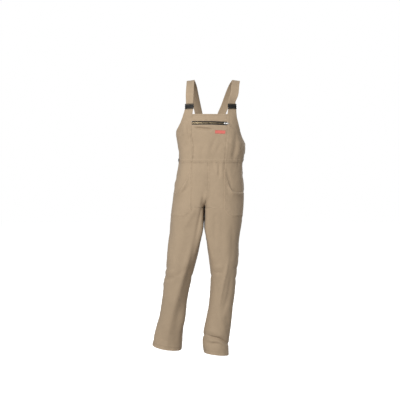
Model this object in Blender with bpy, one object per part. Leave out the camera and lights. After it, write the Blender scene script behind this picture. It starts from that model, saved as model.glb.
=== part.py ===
"""Bib overalls of plain work cloth, worn and standing, in metres with +Z up.

The front faces -Y and the wearer's left side is at +X.  The origin is on the shoulders, midway between the
tops of the two straps.  Every panel is a thin wall whose outer face lies on one of three forms: the torso,
a ring for each height, and one ring for each leg.  Between the crotch and the hips a leg ring turns smoothly
into its half of the torso ring, which curves the rise seam as a trouser pattern does.
"""

import math
from typing import NamedTuple

import bmesh
import bpy
import numpy as np
from mathutils import Matrix, Vector

# ---------------------------------------------------------------- driving dimensions
CLOTH = 0.0015                  # thickness of a cloth wall
GAP = 0.0003                    # space left between neighbouring pieces
WAIST_Z = -0.442                # waist seam
CROTCH_Z = -0.684               # crotch point
FORK = 0.070                    # height over which the rise seam curves
RISE_SQUARE = 2.2               # squareness of that curve; 2 is an ellipse
HIP_RUN = 0.050                 # how far below the crotch the hips run on into the legs
LEG_SQUARE = 2.15               # squareness of a leg ring
CORNER_SQUARE = 4.0             # how much squarer its inner front corner is, near the crotch
CORNER_LOW = (-1.02, -0.80)     # heights between which that comes in
CORNER_HIGH = (-0.60, -0.50)    # heights between which it goes out
WALL_TURN = 0.27                # share of a leg's turn kept for the wall that faces the other leg
WALL_POWER = 11                 # how sharply that wall is gathered near the inseam
BIB_TOP_Z = -0.187              # top edge of the bib
TAB_TOP_Z = -0.157              # top edge of the strap tabs
ZIP_Z = -0.2335                 # middle of the bib zip
ZIP_SHOWN = 0.021               # height of zip seen between the cloth edges
ZIP_TAPE = 0.027                # whole height of the zip tape
ZIP_BOW = 0.0035                # how much lower the zip runs at its closed end
TAPE_REACH = 0.985              # share of the bib's width that the tape runs over
STRAP_WIDTH = 0.040
STRAP_THICK = 0.0022
LABEL_THICK = 0.0010
LABEL_SHARES = (0.33, 0.50, 0.75, 0.985)    # its columns, as shares across the bib
LABEL_HEIGHTS = (0.770, 0.820, 0.866)       # its rows, as shares up the bib front
BUTTON_RADIUS = 0.0085
BUTTON_TAPER = 0.92             # its face over its back
BUTTON_THICK = 0.0030
BUTTON_FORE = 0.10              # its angle in front of the side seam
BUTTON_UP = 0.014               # its height above the waist seam
BUCKLE_WIDTH = 0.050
BUCKLE_THICK = 0.0070
BUCKLE_BEVEL = 0.0012
INSERT_HEIGHT = 0.0105
SOCKET_HEIGHT = 0.0130
MOUTH = (0.036, 0.0038)         # width and thickness of the socket's mouth
TONGUE = (0.034, 0.0028)        # width and thickness of the insert's tongue
PRONG = 0.008                   # how far the tongue reaches into the mouth
TAB_LEAN = 0.10                 # how far a buckle leans back, over its height
ROOT = 0.0005                   # how far a joined piece starts inside the other


class TorsoRow(NamedTuple):
    """Torso ring at one height: middle, half width, depths in front and behind, squareness."""

    z: float
    middle: float
    half: float
    front: float
    back: float
    square: float


TORSO = (
    TorsoRow(-0.120, -0.0145, 0.163, 0.107, 0.118, 2.8),
    TorsoRow(-0.200, -0.0190, 0.172, 0.117, 0.126, 2.7),
    TorsoRow(-0.290, -0.0225, 0.179, 0.125, 0.126, 2.6),
    TorsoRow(-0.345, -0.0120, 0.181, 0.126, 0.118, 2.5),
    TorsoRow(-0.400, -0.0110, 0.176, 0.124, 0.110, 2.4),
    TorsoRow(-0.442, -0.0155, 0.171, 0.121, 0.108, 2.4),
    TorsoRow(-0.500, -0.0200, 0.177, 0.121, 0.118, 2.4),
    TorsoRow(-0.560, -0.0240, 0.184, 0.121, 0.131, 2.4),
    TorsoRow(-0.620, -0.0270, 0.188, 0.119, 0.138, 2.4),
    TorsoRow(-0.700, -0.0320, 0.192, 0.114, 0.138, 2.4),
)


class LegRow(NamedTuple):
    """Leg ring at one height: middle, half width, depths, and how far the ring slopes across and fore-aft."""

    z: float
    x: float
    y: float
    half: float
    front: float
    back: float
    slope_x: float
    slope_y: float


class FrontSeamRow(NamedTuple):
    """Centre-front seam at one height, as its angle from the middle of the torso."""

    z: float
    angle: float


FRONT_SEAM = (
    FrontSeamRow(-0.442, math.radians(-6.5)),
    FrontSeamRow(-0.500, math.radians(-4.5)),
    FrontSeamRow(-0.560, math.radians(-2.6)),
    FrontSeamRow(-0.620, math.radians(-1.2)),
    FrontSeamRow(-0.690, math.radians(0.0)),
)

# wearer's right leg, set out to the side and a little back
LEG_RIGHT = (
    LegRow(-0.540, -0.1290, 0.000, 0.0770, 0.118, 0.130, 0.00, 0.00),
    LegRow(-0.684, -0.1380, 0.000, 0.0870, 0.113, 0.128, 0.00, 0.00),
    LegRow(-0.740, -0.1406, 0.000, 0.0892, 0.108, 0.122, 0.01, 0.00),
    LegRow(-0.785, -0.1432, 0.000, 0.0905, 0.104, 0.116, 0.02, 0.00),
    LegRow(-0.870, -0.1572, -0.002, 0.0860, 0.096, 0.102, 0.05, 0.01),
    LegRow(-0.980, -0.1758, -0.003, 0.0765, 0.087, 0.086, 0.08, 0.02),
    LegRow(-1.080, -0.1932, 0.002, 0.0700, 0.080, 0.077, 0.10, 0.03),
    LegRow(-1.180, -0.2078, 0.012, 0.0675, 0.076, 0.077, 0.12, 0.05),
    LegRow(-1.280, -0.2232, 0.026, 0.0715, 0.074, 0.078, 0.14, 0.07),
    LegRow(-1.370, -0.2428, 0.040, 0.0770, 0.075, 0.078, 0.15, 0.09),
    LegRow(-1.446, -0.2540, 0.050, 0.0810, 0.079, 0.079, 0.15, 0.10),
)

# wearer's left leg, straight below, breaking over the shoe near its hem
LEG_LEFT = (
    LegRow(-0.540, 0.0570, 0.000, 0.1040, 0.118, 0.130, 0.00, 0.00),
    LegRow(-0.684, 0.0555, 0.000, 0.1050, 0.113, 0.128, 0.00, 0.00),
    LegRow(-0.740, 0.0528, 0.000, 0.1026, 0.108, 0.122, 0.00, 0.00),
    LegRow(-0.785, 0.0498, 0.000, 0.1005, 0.104, 0.116, 0.00, 0.00),
    LegRow(-0.870, 0.0510, -0.004, 0.0885, 0.096, 0.102, 0.00, 0.00),
    LegRow(-0.980, 0.0530, -0.010, 0.0773, 0.087, 0.086, 0.02, 0.00),
    LegRow(-1.080, 0.0520, -0.015, 0.0685, 0.079, 0.078, 0.04, 0.00),
    LegRow(-1.180, 0.0440, -0.016, 0.0660, 0.075, 0.078, 0.06, 0.00),
    LegRow(-1.280, 0.0308, -0.016, 0.0680, 0.073, 0.078, 0.08, -0.02),
    LegRow(-1.370, 0.0165, -0.018, 0.0700, 0.071, 0.078, 0.10, -0.04),
    LegRow(-1.405, 0.0130, -0.019, 0.0700, 0.069, 0.078, 0.10, -0.05),
    LegRow(-1.435, 0.0125, -0.020, 0.0690, 0.078, 0.078, 0.10, -0.05),
    LegRow(-1.472, 0.0165, -0.020, 0.0660, 0.080, 0.078, 0.10, -0.05),
)


class SeamRow(NamedTuple):
    """Seams beside the bib at one height, as distances from the middle of the torso."""

    z: float
    right: float
    left: float


BIB_SEAM = (
    SeamRow(-0.150, 0.0905, 0.0940),
    SeamRow(-0.187, 0.0945, 0.0905),
    SeamRow(-0.270, 0.0945, 0.0960),
    SeamRow(-0.357, 0.0990, 0.0750),
    SeamRow(-0.442, 0.1010, 0.0710),
)


class EdgeRow(NamedTuple):
    """Top edge of the side panels: share of the way from the bib seam to the side seam, and the heights."""

    share: float
    right: float
    left: float


TAB_SHARE = 0.34                # the strap tab takes this share of the side panel
SIDE_PANEL_EDGE = (
    EdgeRow(0.00, TAB_TOP_Z, TAB_TOP_Z),
    EdgeRow(TAB_SHARE, TAB_TOP_Z, TAB_TOP_Z),
    EdgeRow(0.37, -0.183, -0.183),
    EdgeRow(0.43, -0.214, -0.218),
    EdgeRow(0.54, -0.245, -0.256),
    EdgeRow(0.70, -0.266, -0.294),
    EdgeRow(0.86, -0.280, -0.322),
    EdgeRow(1.00, -0.290, -0.337),
)
BIB_COLUMNS = np.linspace(-1.0, 1.0, 9)
BIB_ROWS = np.linspace(0.0, 1.0, 8)
UPPER_ROWS = 11                 # rows of the side panels and the upper back, so that they share a seam
SIDE_PANEL_COLUMNS = (0.0, 0.11, 0.22, TAB_SHARE, 0.37, 0.43, 0.54, 0.70, 0.86, 1.0)

# top edge of the upper back: share of the way from the right side seam to the left one, and the height
BACK_EDGE = (
    (0.00, -0.290),
    (0.08, -0.294),
    (0.18, -0.262),
    (0.28, -0.215),
    (0.34, -0.188),
    (0.42, -0.1855),
    (0.50, -0.183),
    (0.58, -0.1855),
    (0.66, -0.188),
    (0.72, -0.219),
    (0.82, -0.280),
    (0.92, -0.330),
    (1.00, -0.337),
)

LEG_COLUMNS = 8                 # spaces across a leg panel
ROWS_HIPS = 4                   # spaces down it between the waist and the fork,
ROWS_FORK = 7                   # over the fork,
ROWS_LEG = 19                   # and below
ROWS_CROWD = 1.40               # how much these crowd towards the crotch
FRONT_SEAM_X = -0.0305          # x of the centre-front seam between the pockets
POCKET_INNER = 0.086            # distance of a pocket's inner edge from it
POCKET_START = 0.012            # share at which a pocket starts, just past the side seam
POCKET_LIFT_RIGHT = 0.0019      # space between a pocket and its panel, on the more curved right hip
POCKET_LIFT_LEFT = 0.0010
POCKET_ROWS = 18                # spaces up a pocket

# edges of a patch pocket: share of the way from the side seam to its inner edge, and the height
POCKET_BOTTOM = ((0.0, -0.731), (0.24, -0.730), (0.47, -0.729), (0.71, -0.727), (0.83, -0.722), (0.93, -0.708),
                 (1.0, -0.687))
POCKET_MOUTH_RIGHT = ((0.0, -0.604), (0.30, -0.602), (0.46, -0.597), (0.56, -0.588), (0.68, -0.565),
                      (0.784, -0.535), (0.875, -0.487), (0.945, -0.460), (1.0, -0.450))
POCKET_MOUTH_LEFT = ((0.0, -0.604), (0.35, -0.602), (0.60, -0.597), (0.737, -0.586), (0.81, -0.567),
                     (0.879, -0.540), (0.93, -0.516), (0.974, -0.485), (1.0, -0.450))


class StrapRow(NamedTuple):
    """A point on the straps' middle lines: half their distance, how far both stand to +X, and their facing."""

    half: float
    drift: float
    y: float
    z: float
    face_x: float
    face_y: float
    face_z: float


STRAP_OVER = (
    StrapRow(0.1185, -0.0090, -0.0860, -0.0800, 0.25, -1.00, 0.35),
    StrapRow(0.1205, -0.0045, -0.0580, -0.0300, 0.20, -0.80, 0.70),
    StrapRow(0.1215, -0.0010, -0.0200, -0.0035, 0.15, -0.35, 1.00),
    StrapRow(0.1190, -0.0010, 0.0220, -0.0035, 0.15, 0.30, 1.00),
    StrapRow(0.1080, -0.0040, 0.0640, -0.0260, 0.15, 0.75, 0.70),
    StrapRow(0.0930, -0.0080, 0.0980, -0.0750, 0.12, 1.00, 0.35),
    StrapRow(0.0760, -0.0120, 0.1190, -0.1300, 0.12, 1.00, 0.15),
)
STRAP_SEWN = ((0.0580, -0.190), (0.0470, -0.232))   # distance from the middle, and height, of its sewn end
STRAP_STRAIGHT = 0.012          # how far it runs straight on from the buckle
STRAP_ROWS = 30                 # spaces along it
STEP = 0.0005                   # step along it for its direction


COLOURS = {
    "cloth": (0.445, 0.341, 0.246, 0.90, 0.0),
    "buckle": (0.012, 0.012, 0.011, 0.45, 0.0),
    "tape": (0.022, 0.019, 0.016, 0.80, 0.0),
    "metal": (0.620, 0.610, 0.580, 0.30, 1.0),
    "label": (0.600, 0.130, 0.120, 0.80, 0.0),
}


# ---------------------------------------------------------------- forms
def smooth(at, places, values):
    """Smooth curve through a table: cubic pieces whose slopes are those of the neighbouring rows."""
    places = np.asarray(places, float)
    values = np.asarray(values, float)
    order = np.argsort(places)
    places, values = places[order], values[order]
    slopes = np.gradient(values, places)
    at = np.clip(np.asarray(at, float), places[0], places[-1])
    row = np.clip(np.searchsorted(places, at) - 1, 0, len(places) - 2)
    span = places[row + 1] - places[row]
    t = (at - places[row]) / span
    return ((2 * t**3 - 3 * t**2 + 1) * values[row] + (t**3 - 2 * t**2 + t) * span * slopes[row]
            + (3 * t**2 - 2 * t**3) * values[row + 1] + (t**3 - t**2) * span * slopes[row + 1])


def column(table, name, z):
    """One named column of a table of sections, read smoothly at height z."""
    return smooth(z, [row.z for row in table], [getattr(row, name) for row in table])


def ring(across, fore, half, front, back, square):
    """Point of a rounded-square ring in the direction (across, fore); fore is positive towards the front."""
    depth = np.where(fore > 0, front, back)
    reach = (np.abs(across / half) ** square + np.abs(fore / depth) ** square) ** (-1.0 / square)
    return across * reach, -fore * reach


def torso_point(angle, z):
    """Torso form: angle 0 is the centre front, +90 degrees the wearer's left side, 180 the centre back."""
    x, y = ring(np.sin(angle), np.cos(angle), column(TORSO, "half", z), column(TORSO, "front", z),
                column(TORSO, "back", z), column(TORSO, "square", z))
    return np.stack([x + column(TORSO, "middle", z), y, z + 0 * x], axis=-1)


def torso_angle(offset, z):
    """Angle at which the front of the torso lies at this distance from its middle, +X positive."""
    square = column(TORSO, "square", z)
    share = np.abs(offset) / column(TORSO, "half", z)
    fore = column(TORSO, "front", z) * (1.0 - share**square) ** (1.0 / square)
    return np.arctan2(offset, fore)


def ease(low, high, at):
    """Smooth step from 0 at low to 1 at high."""
    t = np.clip((at - low) / (high - low), 0.0, 1.0)
    return t**2 * (3.0 - 2.0 * t)


def leg_point(table, side, turn, z):
    """Leg form: turn 0 is the outer side, +180 degrees the inseam reached over the front, -180 over the back.

    Near the crotch the corner between the front and the wall that faces the other leg is squarer.
    """
    near = ease(*CORNER_LOW, z) * (1.0 - ease(*CORNER_HIGH, z))
    corner = np.where(turn > math.pi / 2, np.maximum(-np.sin(2.0 * turn), 0.0), 0.0)
    x, y = ring(np.cos(turn), np.sin(turn), column(table, "half", z), column(table, "front", z),
                column(table, "back", z), LEG_SQUARE + CORNER_SQUARE * corner * near)
    lift = -column(table, "slope_x", z) * side * x + column(table, "slope_y", z) * y
    return np.stack([column(table, "x", z) + side * x, column(table, "y", z) + y, z + lift], axis=-1)


def torso_part(share, z):
    """How much of a trouser point is torso, from 0 on the leg to 1 on the hips.

    Along the rise seam it is (1 - (1 - rise)^n)^(1/n), where rise runs from 0 at the crotch to 1 at the top
    of the fork and n is RISE_SQUARE, so the seam follows a quarter of a squared ellipse.  Away from the seam
    it eases in and out, from a little below the crotch, so the hip runs on into the thigh.
    """
    rise = np.clip((z - CROTCH_Z) / FORK, 0.0, 1.0)
    seam = (1.0 - (1.0 - rise) ** RISE_SQUARE) ** (1.0 / RISE_SQUARE)
    hip = ease(CROTCH_Z - HIP_RUN, CROTCH_Z + FORK, z)
    near = np.clip(np.abs(share), 0.0, 1.0) ** 8
    return near * seam + (1.0 - near) * hip


def leg_turn(share):
    """Share of a leg's half turn at this share of its panel: the wall facing the other leg comes last."""
    return share * (1.0 - WALL_TURN + WALL_TURN * np.abs(share) ** WALL_POWER)


def trouser_point(side, share, z):
    """Trouser form of one side: share 0 is the side seam, +1 the centre front or inseam, -1 the back one."""
    table = LEG_LEFT if side > 0 else LEG_RIGHT
    part = torso_part(share, z)[..., None]
    leg = leg_point(table, side, leg_turn(share) * math.pi, z)
    seam = np.where(share > 0, column(FRONT_SEAM, "angle", z), 0.0)
    torso = torso_point(side * (1.0 - share) * math.pi / 2 + share * seam, z)
    return (1.0 - part) * leg + part * torso


def face_normals(form, a, b, hand=1, step=1e-4):
    """Outward normals of a form at parameters a (across) and b (height), from central differences.

    The hand is 1 where the first parameter runs towards +X over the front, and -1 where it runs back.
    """
    along = form(a + step, b) - form(a - step, b)
    up = form(a, b + step) - form(a, b - step)
    normal = hand * np.cross(along, up)
    return normal / np.linalg.norm(normal, axis=-1, keepdims=True)


def between(points, columns, rows, a, b):
    """Points on a panel's own flat faces: its grid read between its columns at a and its rows at b.

    Each cell of a panel is two triangles that share the diagonal from its first corner to its last.
    """
    c = np.clip(np.searchsorted(columns, a) - 1, 0, len(columns) - 2)
    r = np.clip(np.searchsorted(rows, b) - 1, 0, len(rows) - 2)
    u = ((a - columns[c]) / (columns[c + 1] - columns[c]))[..., None]
    v = ((b - rows[r]) / (rows[r + 1] - rows[r]))[..., None]
    first, last = points[r, c], points[r + 1, c + 1]
    right, left = points[r, c + 1], points[r + 1, c]
    below = first + u * (right - first) + v * (last - right)
    above = first + v * (left - first) + u * (last - left)
    return np.where(u >= v, below, above)


# ---------------------------------------------------------------- walls and other solids
def material(name):
    """Principled material of one of the finishes in COLOURS."""
    if name in bpy.data.materials:
        return bpy.data.materials[name]
    red, green, blue, rough, metal = COLOURS[name]
    new = bpy.data.materials.new(name)
    new.use_nodes = True
    shader = new.node_tree.nodes["Principled BSDF"]
    shader.inputs["Base Color"].default_value = (red, green, blue, 1.0)
    shader.inputs["Roughness"].default_value = rough
    shader.inputs["Metallic"].default_value = metal
    new.diffuse_color = (red, green, blue, 1.0)
    return new


def add_object(name, mesh, finish):
    """Link a mesh as a named object with its finish."""
    new = bpy.data.objects.new(name, mesh)
    mesh.materials.append(material(finish))
    bpy.context.collection.objects.link(new)
    return new


def trim(points, rows=(True, True), columns=(True, True)):
    """Pull the chosen edges of a grid back by half a seam gap, towards their neighbours."""
    points = points.copy()
    ends = []
    if rows[0]:
        ends.append((points[0], points[1]))
    if rows[1]:
        ends.append((points[-1], points[-2]))
    if columns[0]:
        ends.append((points[:, 0], points[:, 1]))
    if columns[1]:
        ends.append((points[:, -1], points[:, -2]))
    for edge, inner in ends:
        inward = inner - edge
        edge += inward / np.linalg.norm(inward, axis=-1, keepdims=True) * (GAP / 2)
    return points


def wall(name, points, normals, finish, thick=CLOTH, lift=0.0):
    """Closed wall from a grid: its inner face is the grid lifted by `lift`, or set in if that is negative.

    With no lift the grid itself is the outer face and the wall lies behind it.
    """
    rows, columns = points.shape[:2]
    inner_lift = lift if lift > 0 else lift - thick
    inner = points + normals * inner_lift
    outer = points + normals * (inner_lift + thick)
    verts = np.concatenate([outer.reshape(-1, 3), inner.reshape(-1, 3)])
    index = np.arange(rows * columns).reshape(rows, columns)
    back = index + rows * columns
    faces = []
    for r in range(rows - 1):
        for c in range(columns - 1):
            for corners in (((r, c), (r, c + 1), (r + 1, c + 1)), ((r, c), (r + 1, c + 1), (r + 1, c))):
                faces.append([index[corner] for corner in corners])
                faces.append([back[corner] for corner in reversed(corners)])
    loop = list(index[0, :]) + list(index[1:, -1]) + list(index[-1, -2::-1]) + list(index[-2:0:-1, 0])
    for first, second in zip(loop, loop[1:] + loop[:1]):
        faces.append((first, first + rows * columns, second + rows * columns, second))
    mesh = bpy.data.meshes.new(name)
    mesh.from_pydata(verts.tolist(), [], [tuple(int(i) for i in face) for face in faces])
    face_outward(mesh)
    return add_object(name, mesh, finish)


def face_outward(mesh):
    """Turn every face of a closed mesh outward."""
    work = bmesh.new()
    work.from_mesh(mesh)
    bmesh.ops.recalc_face_normals(work, faces=work.faces)
    if work.calc_volume(signed=True) < 0:
        bmesh.ops.reverse_faces(work, faces=work.faces)
    work.to_mesh(mesh)
    work.free()


def form_wall(name, form, a, b, hand=1, finish="cloth", thick=CLOTH, lift=0.0, rows=(True, True),
              columns=(True, True)):
    """Wall on a form at a grid of parameters, with half a seam gap taken off its chosen edges."""
    points = trim(form(a, b), rows, columns)
    return wall(name, points, face_normals(form, a, b, hand), finish, thick, lift)


class Frame(NamedTuple):
    """A small flat workplace on the cloth: its origin, along, up and outward directions."""

    origin: Vector
    along: Vector
    up: Vector
    out: Vector

    def matrix(self):
        """Matrix that takes (along, up, out) coordinates to the garment."""
        return Matrix((
            (self.along.x, self.up.x, self.out.x, self.origin.x),
            (self.along.y, self.up.y, self.out.y, self.origin.y),
            (self.along.z, self.up.z, self.out.z, self.origin.z),
            (0.0, 0.0, 0.0, 1.0),
        ))


def frame_at(origin, along, out):
    """Frame with its out direction kept, and along and up made square to it."""
    out = Vector(out).normalized()
    along = Vector(along)
    along = (along - out * along.dot(out)).normalized()
    return Frame(Vector(origin), along, out.cross(along).normalized(), out)


def box_mesh(name, centre, size, bevel=0.0):
    """Box with bevelled edges, in a frame's own coordinates."""
    work = bmesh.new()
    bmesh.ops.create_cube(work, size=1.0)
    bmesh.ops.scale(work, vec=size, verts=work.verts)
    bmesh.ops.translate(work, vec=centre, verts=work.verts)
    if bevel > 0:
        bmesh.ops.bevel(work, geom=list(work.edges), offset=bevel, segments=2, affect="EDGES", profile=0.5)
    mesh = bpy.data.meshes.new(name)
    work.to_mesh(mesh)
    work.free()
    return mesh


def outline_mesh(name, outline, low, high):
    """Plate with this outline between two levels of a frame's out direction."""
    work = bmesh.new()
    base = [work.verts.new((x, y, low)) for x, y in outline]
    face = work.faces.new(base)
    grown = bmesh.ops.extrude_face_region(work, geom=[face])
    top = [item for item in grown["geom"] if isinstance(item, bmesh.types.BMVert)]
    bmesh.ops.translate(work, vec=(0.0, 0.0, high - low), verts=top)
    mesh = bpy.data.meshes.new(name)
    work.to_mesh(mesh)
    work.free()
    face_outward(mesh)
    return mesh


def boolean(target, mesh, kind, frame):
    """Join or cut a solid with a helper mesh that is given in the same frame."""
    helper = bpy.data.objects.new(target.name + "_" + kind.lower(), mesh)
    bpy.context.collection.objects.link(helper)
    helper.matrix_world = frame.matrix()
    helper.hide_render = True
    helper.display_type = "WIRE"
    step = target.modifiers.new(kind.title(), "BOOLEAN")
    step.operation = kind
    step.object = helper
    step.solver = "EXACT"


# ---------------------------------------------------------------- upper body
def grid(a_values, b_values):
    """Two full grids from the values across and the values up."""
    return np.meshgrid(np.asarray(a_values, float), np.asarray(b_values, float))


def side_panel_form(side):
    """Form of a side panel: share 0 is the bib seam and 1 the side seam, at each height."""
    seam = "left" if side > 0 else "right"

    def form(share, z):
        inner = torso_angle(column(BIB_SEAM, seam, z), z)
        return torso_point(side * (inner + share * (math.pi / 2 - inner)), z)

    return form


def bib_form(share, z):
    """Form of the middle of the bib: share -1 is the wearer's right bib seam and +1 the left one."""
    right = -torso_angle(column(BIB_SEAM, "right", z), z)
    left = torso_angle(column(BIB_SEAM, "left", z), z)
    return torso_point(right + (share + 1.0) / 2.0 * (left - right), z)


def build_side_panels():
    """Side panels of the bib, each with its strap tab, from the bib seam round to the side seam."""
    for name, side, edge in (("bib_side_right", -1, "right"), ("bib_side_left", 1, "left")):
        tops = np.interp(SIDE_PANEL_COLUMNS, [row.share for row in SIDE_PANEL_EDGE],
                         [getattr(row, edge) for row in SIDE_PANEL_EDGE])
        share, up = grid(SIDE_PANEL_COLUMNS, np.linspace(0.0, 1.0, UPPER_ROWS))
        z = WAIST_Z + up * (tops - WAIST_Z)
        form_wall(name, side_panel_form(side), share, z, hand=side)


def zip_bow(share):
    """How much lower the zip runs than its middle, towards its closed end on the wearer's left."""
    return -ZIP_BOW * np.clip(share, 0.0, 1.0) ** 2


def bib_front_z(share, up):
    """Height on the bib front: up 0 is the waist seam and 1 the zip's lower edge."""
    return WAIST_Z + up * (ZIP_Z - ZIP_SHOWN / 2 + zip_bow(share) - WAIST_Z)


def build_bib():
    """Middle of the bib: front panel, top band and, a wall behind their edges, the zip tape."""
    share, up = grid(BIB_COLUMNS, BIB_ROWS)
    form_wall("bib_front", bib_form, share, bib_front_z(share, up), rows=(True, False))
    share, up = grid(BIB_COLUMNS, np.linspace(0.0, 1.0, 3))
    high_edge = ZIP_Z + ZIP_SHOWN / 2 + zip_bow(share)
    form_wall("bib_top_band", bib_form, share, high_edge + up * (BIB_TOP_Z - high_edge), rows=(False, False))
    share, up = grid(BIB_COLUMNS * TAPE_REACH, np.linspace(-0.5, 0.5, 3))
    form_wall("zip_tape", bib_form, share, ZIP_Z + zip_bow(share) + up * ZIP_TAPE, finish="tape",
              lift=-(CLOTH + GAP), rows=(False, False), columns=(False, False))


def build_label():
    """Plain woven label on the bib front, below the closed end of the zip."""
    share, up = grid(LABEL_SHARES, LABEL_HEIGHTS)
    front_share, front_up = grid(BIB_COLUMNS, BIB_ROWS)
    front = bib_form(front_share, bib_front_z(front_share, front_up))
    points = between(front, BIB_COLUMNS, BIB_ROWS, share, up)
    normals = face_normals(bib_form, share, bib_front_z(share, up))
    wall("label", points, normals, "label", thick=LABEL_THICK, lift=GAP)


def back_form(share, z):
    """Form of the upper back: share 0 is the right side seam and 1 the left one, round the back."""
    return torso_point(-math.pi / 2 - share * math.pi, z)


def build_upper_back():
    """High back panel in one piece."""
    shares, tops = (np.array(values) for values in zip(*BACK_EDGE))
    share, up = grid(shares, np.linspace(0.0, 1.0, UPPER_ROWS))
    form_wall("upper_back", back_form, share, WAIST_Z + up * (tops - WAIST_Z), hand=-1, rows=(True, False))


# ---------------------------------------------------------------- straps and buckles
def tab_frame(side):
    """Frame at the middle of a strap tab's top edge, in the tab's own plane."""
    form = side_panel_form(side)
    low = Vector(form(np.array(0.0), np.array(TAB_TOP_Z)))
    high = Vector(form(np.array(TAB_SHARE), np.array(TAB_TOP_Z)))
    middle = Vector(form(np.array(TAB_SHARE / 2), np.array(TAB_TOP_Z)))
    along = (high - low) * side
    lean = Vector((0.0, TAB_LEAN, 1.0))
    out = along.cross(lean)
    if out.y > 0:
        out.negate()
    origin = (low + high) / 2 * 0.5 + middle * 0.5
    frame = frame_at(origin, along, out)
    return Frame(origin - frame.out * (CLOTH / 2), frame.along, frame.up, frame.out)


def build_buckle(side, label):
    """Side-release buckle: a hollow socket on the strap tab and, above it, the insert on the strap."""
    frame = tab_frame(side)
    socket_low = GAP
    socket_high = socket_low + SOCKET_HEIGHT
    insert_low = socket_high + GAP
    insert_high = insert_low + INSERT_HEIGHT

    socket = add_object("buckle_socket_" + label, box_mesh(
        "buckle_socket_" + label, (0.0, (socket_low + socket_high) / 2, 0.0),
        (BUCKLE_WIDTH, SOCKET_HEIGHT, BUCKLE_THICK), BUCKLE_BEVEL), "buckle")
    socket.matrix_world = frame.matrix()
    mouth = box_mesh("mouth", (0.0, socket_high, 0.0), (MOUTH[0], (PRONG + ROOT) * 2, MOUTH[1]))
    boolean(socket, mouth, "DIFFERENCE", frame)

    insert = add_object("buckle_insert_" + label, box_mesh(
        "buckle_insert_" + label, (0.0, (insert_low + insert_high) / 2, 0.0),
        (BUCKLE_WIDTH, INSERT_HEIGHT, BUCKLE_THICK), BUCKLE_BEVEL), "buckle")
    insert.matrix_world = frame.matrix()
    tongue = box_mesh("tongue", (0.0, insert_low - PRONG / 2 + ROOT, 0.0),
                      (TONGUE[0], PRONG + ROOT * 2, TONGUE[1]))
    boolean(insert, tongue, "UNION", frame)


def strap_stations(side):
    """Middle line and facing of a strap, from its buckle over the shoulder to the upper back."""
    frame = tab_frame(side)
    start = GAP * 3 + SOCKET_HEIGHT + INSERT_HEIGHT
    points = [frame.origin + frame.up * (start + step) for step in (0.0, STRAP_STRAIGHT)]
    faces = [frame.out, frame.out]
    for row in STRAP_OVER:
        points.append(Vector((side * row.half + row.drift, row.y, row.z)))
        faces.append(Vector((side * row.face_x, row.face_y, row.face_z)))
    for offset, z in STRAP_SEWN:
        angle = math.pi - side * math.atan2(offset, float(column(TORSO, "back", z)))
        at, high = np.array(angle), np.array(z)
        out = Vector(face_normals(torso_point, at, high))
        points.append(Vector(torso_point(at, high)) + out * (GAP * 2 + STRAP_THICK / 2))
        faces.append(out)
    return points, faces


def build_strap(side, label):
    """Cloth strap, a flat band carried along its middle line."""
    points, faces = strap_stations(side)
    points = np.array([tuple(p) for p in points])
    faces = np.array([tuple(f.normalized()) for f in faces])
    length = np.concatenate([[0.0], np.cumsum(np.linalg.norm(np.diff(points, axis=0), axis=1))])
    at = np.linspace(0.0, length[-1], STRAP_ROWS + 1)
    line, before, after = (np.stack([smooth(at + step, length, points[:, i]) for i in range(3)], axis=-1)
                           for step in (0.0, -STEP, STEP))
    out = np.stack([smooth(at, length, faces[:, i]) for i in range(3)], axis=-1)
    ahead = (after - before) / np.linalg.norm(after - before, axis=-1, keepdims=True)
    out -= ahead * np.sum(out * ahead, axis=-1, keepdims=True)
    out /= np.linalg.norm(out, axis=-1, keepdims=True)
    across = np.cross(ahead, out)
    spread = np.linspace(-0.5, 0.5, 3)[None, :, None] * STRAP_WIDTH
    points = line[:, None, :] + across[:, None, :] * spread + out[:, None, :] * (STRAP_THICK / 2)
    normals = np.repeat(out[:, None, :], 3, axis=1)
    wall("strap_" + label, points, normals, "cloth", thick=STRAP_THICK)


# ---------------------------------------------------------------- zip slider and pull tab
SLIDER_SHARE = 0.885            # place of the slider along the zip
SLIDER_LENGTH = 0.0120
SLIDER_HEIGHT = 0.0090
SLIDER_THICK = 0.0026
SLIDER_BEVEL = 0.0006
ARCH_WIDTH = 0.0024
ARCH_LENGTH = 0.0070
ARCH_LEG = 0.0012               # length of each foot of the arch
ARCH_TOP = 0.0010
THROUGH = 0.01                  # length of a cutting block, well past both faces
PIN = 0.0011                    # thickness of the pull tab and of its hinge pin
TAB_LENGTH = 0.0210
TAB_WIDTH = 0.0062
TAB_NOSE = 0.0018               # depth of its rounded end
TAB_PIN_SHARE = 0.85            # length of its pin bar over its width


def slider_frame():
    """Frame in the middle of the slider's back face, just clear of the zip tape."""
    share = np.array(SLIDER_SHARE)
    z = ZIP_Z + zip_bow(share)
    out = face_normals(bib_form, share, z)
    along = bib_form(share + 0.01, ZIP_Z + zip_bow(share + 0.01)) - bib_form(share, z)
    return frame_at(bib_form(share, z) - out * CLOTH, along, out)


def pivot_height():
    """Height of the pull tab's hinge pin above the slider's back face."""
    return SLIDER_THICK + GAP + PIN / 2


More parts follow.
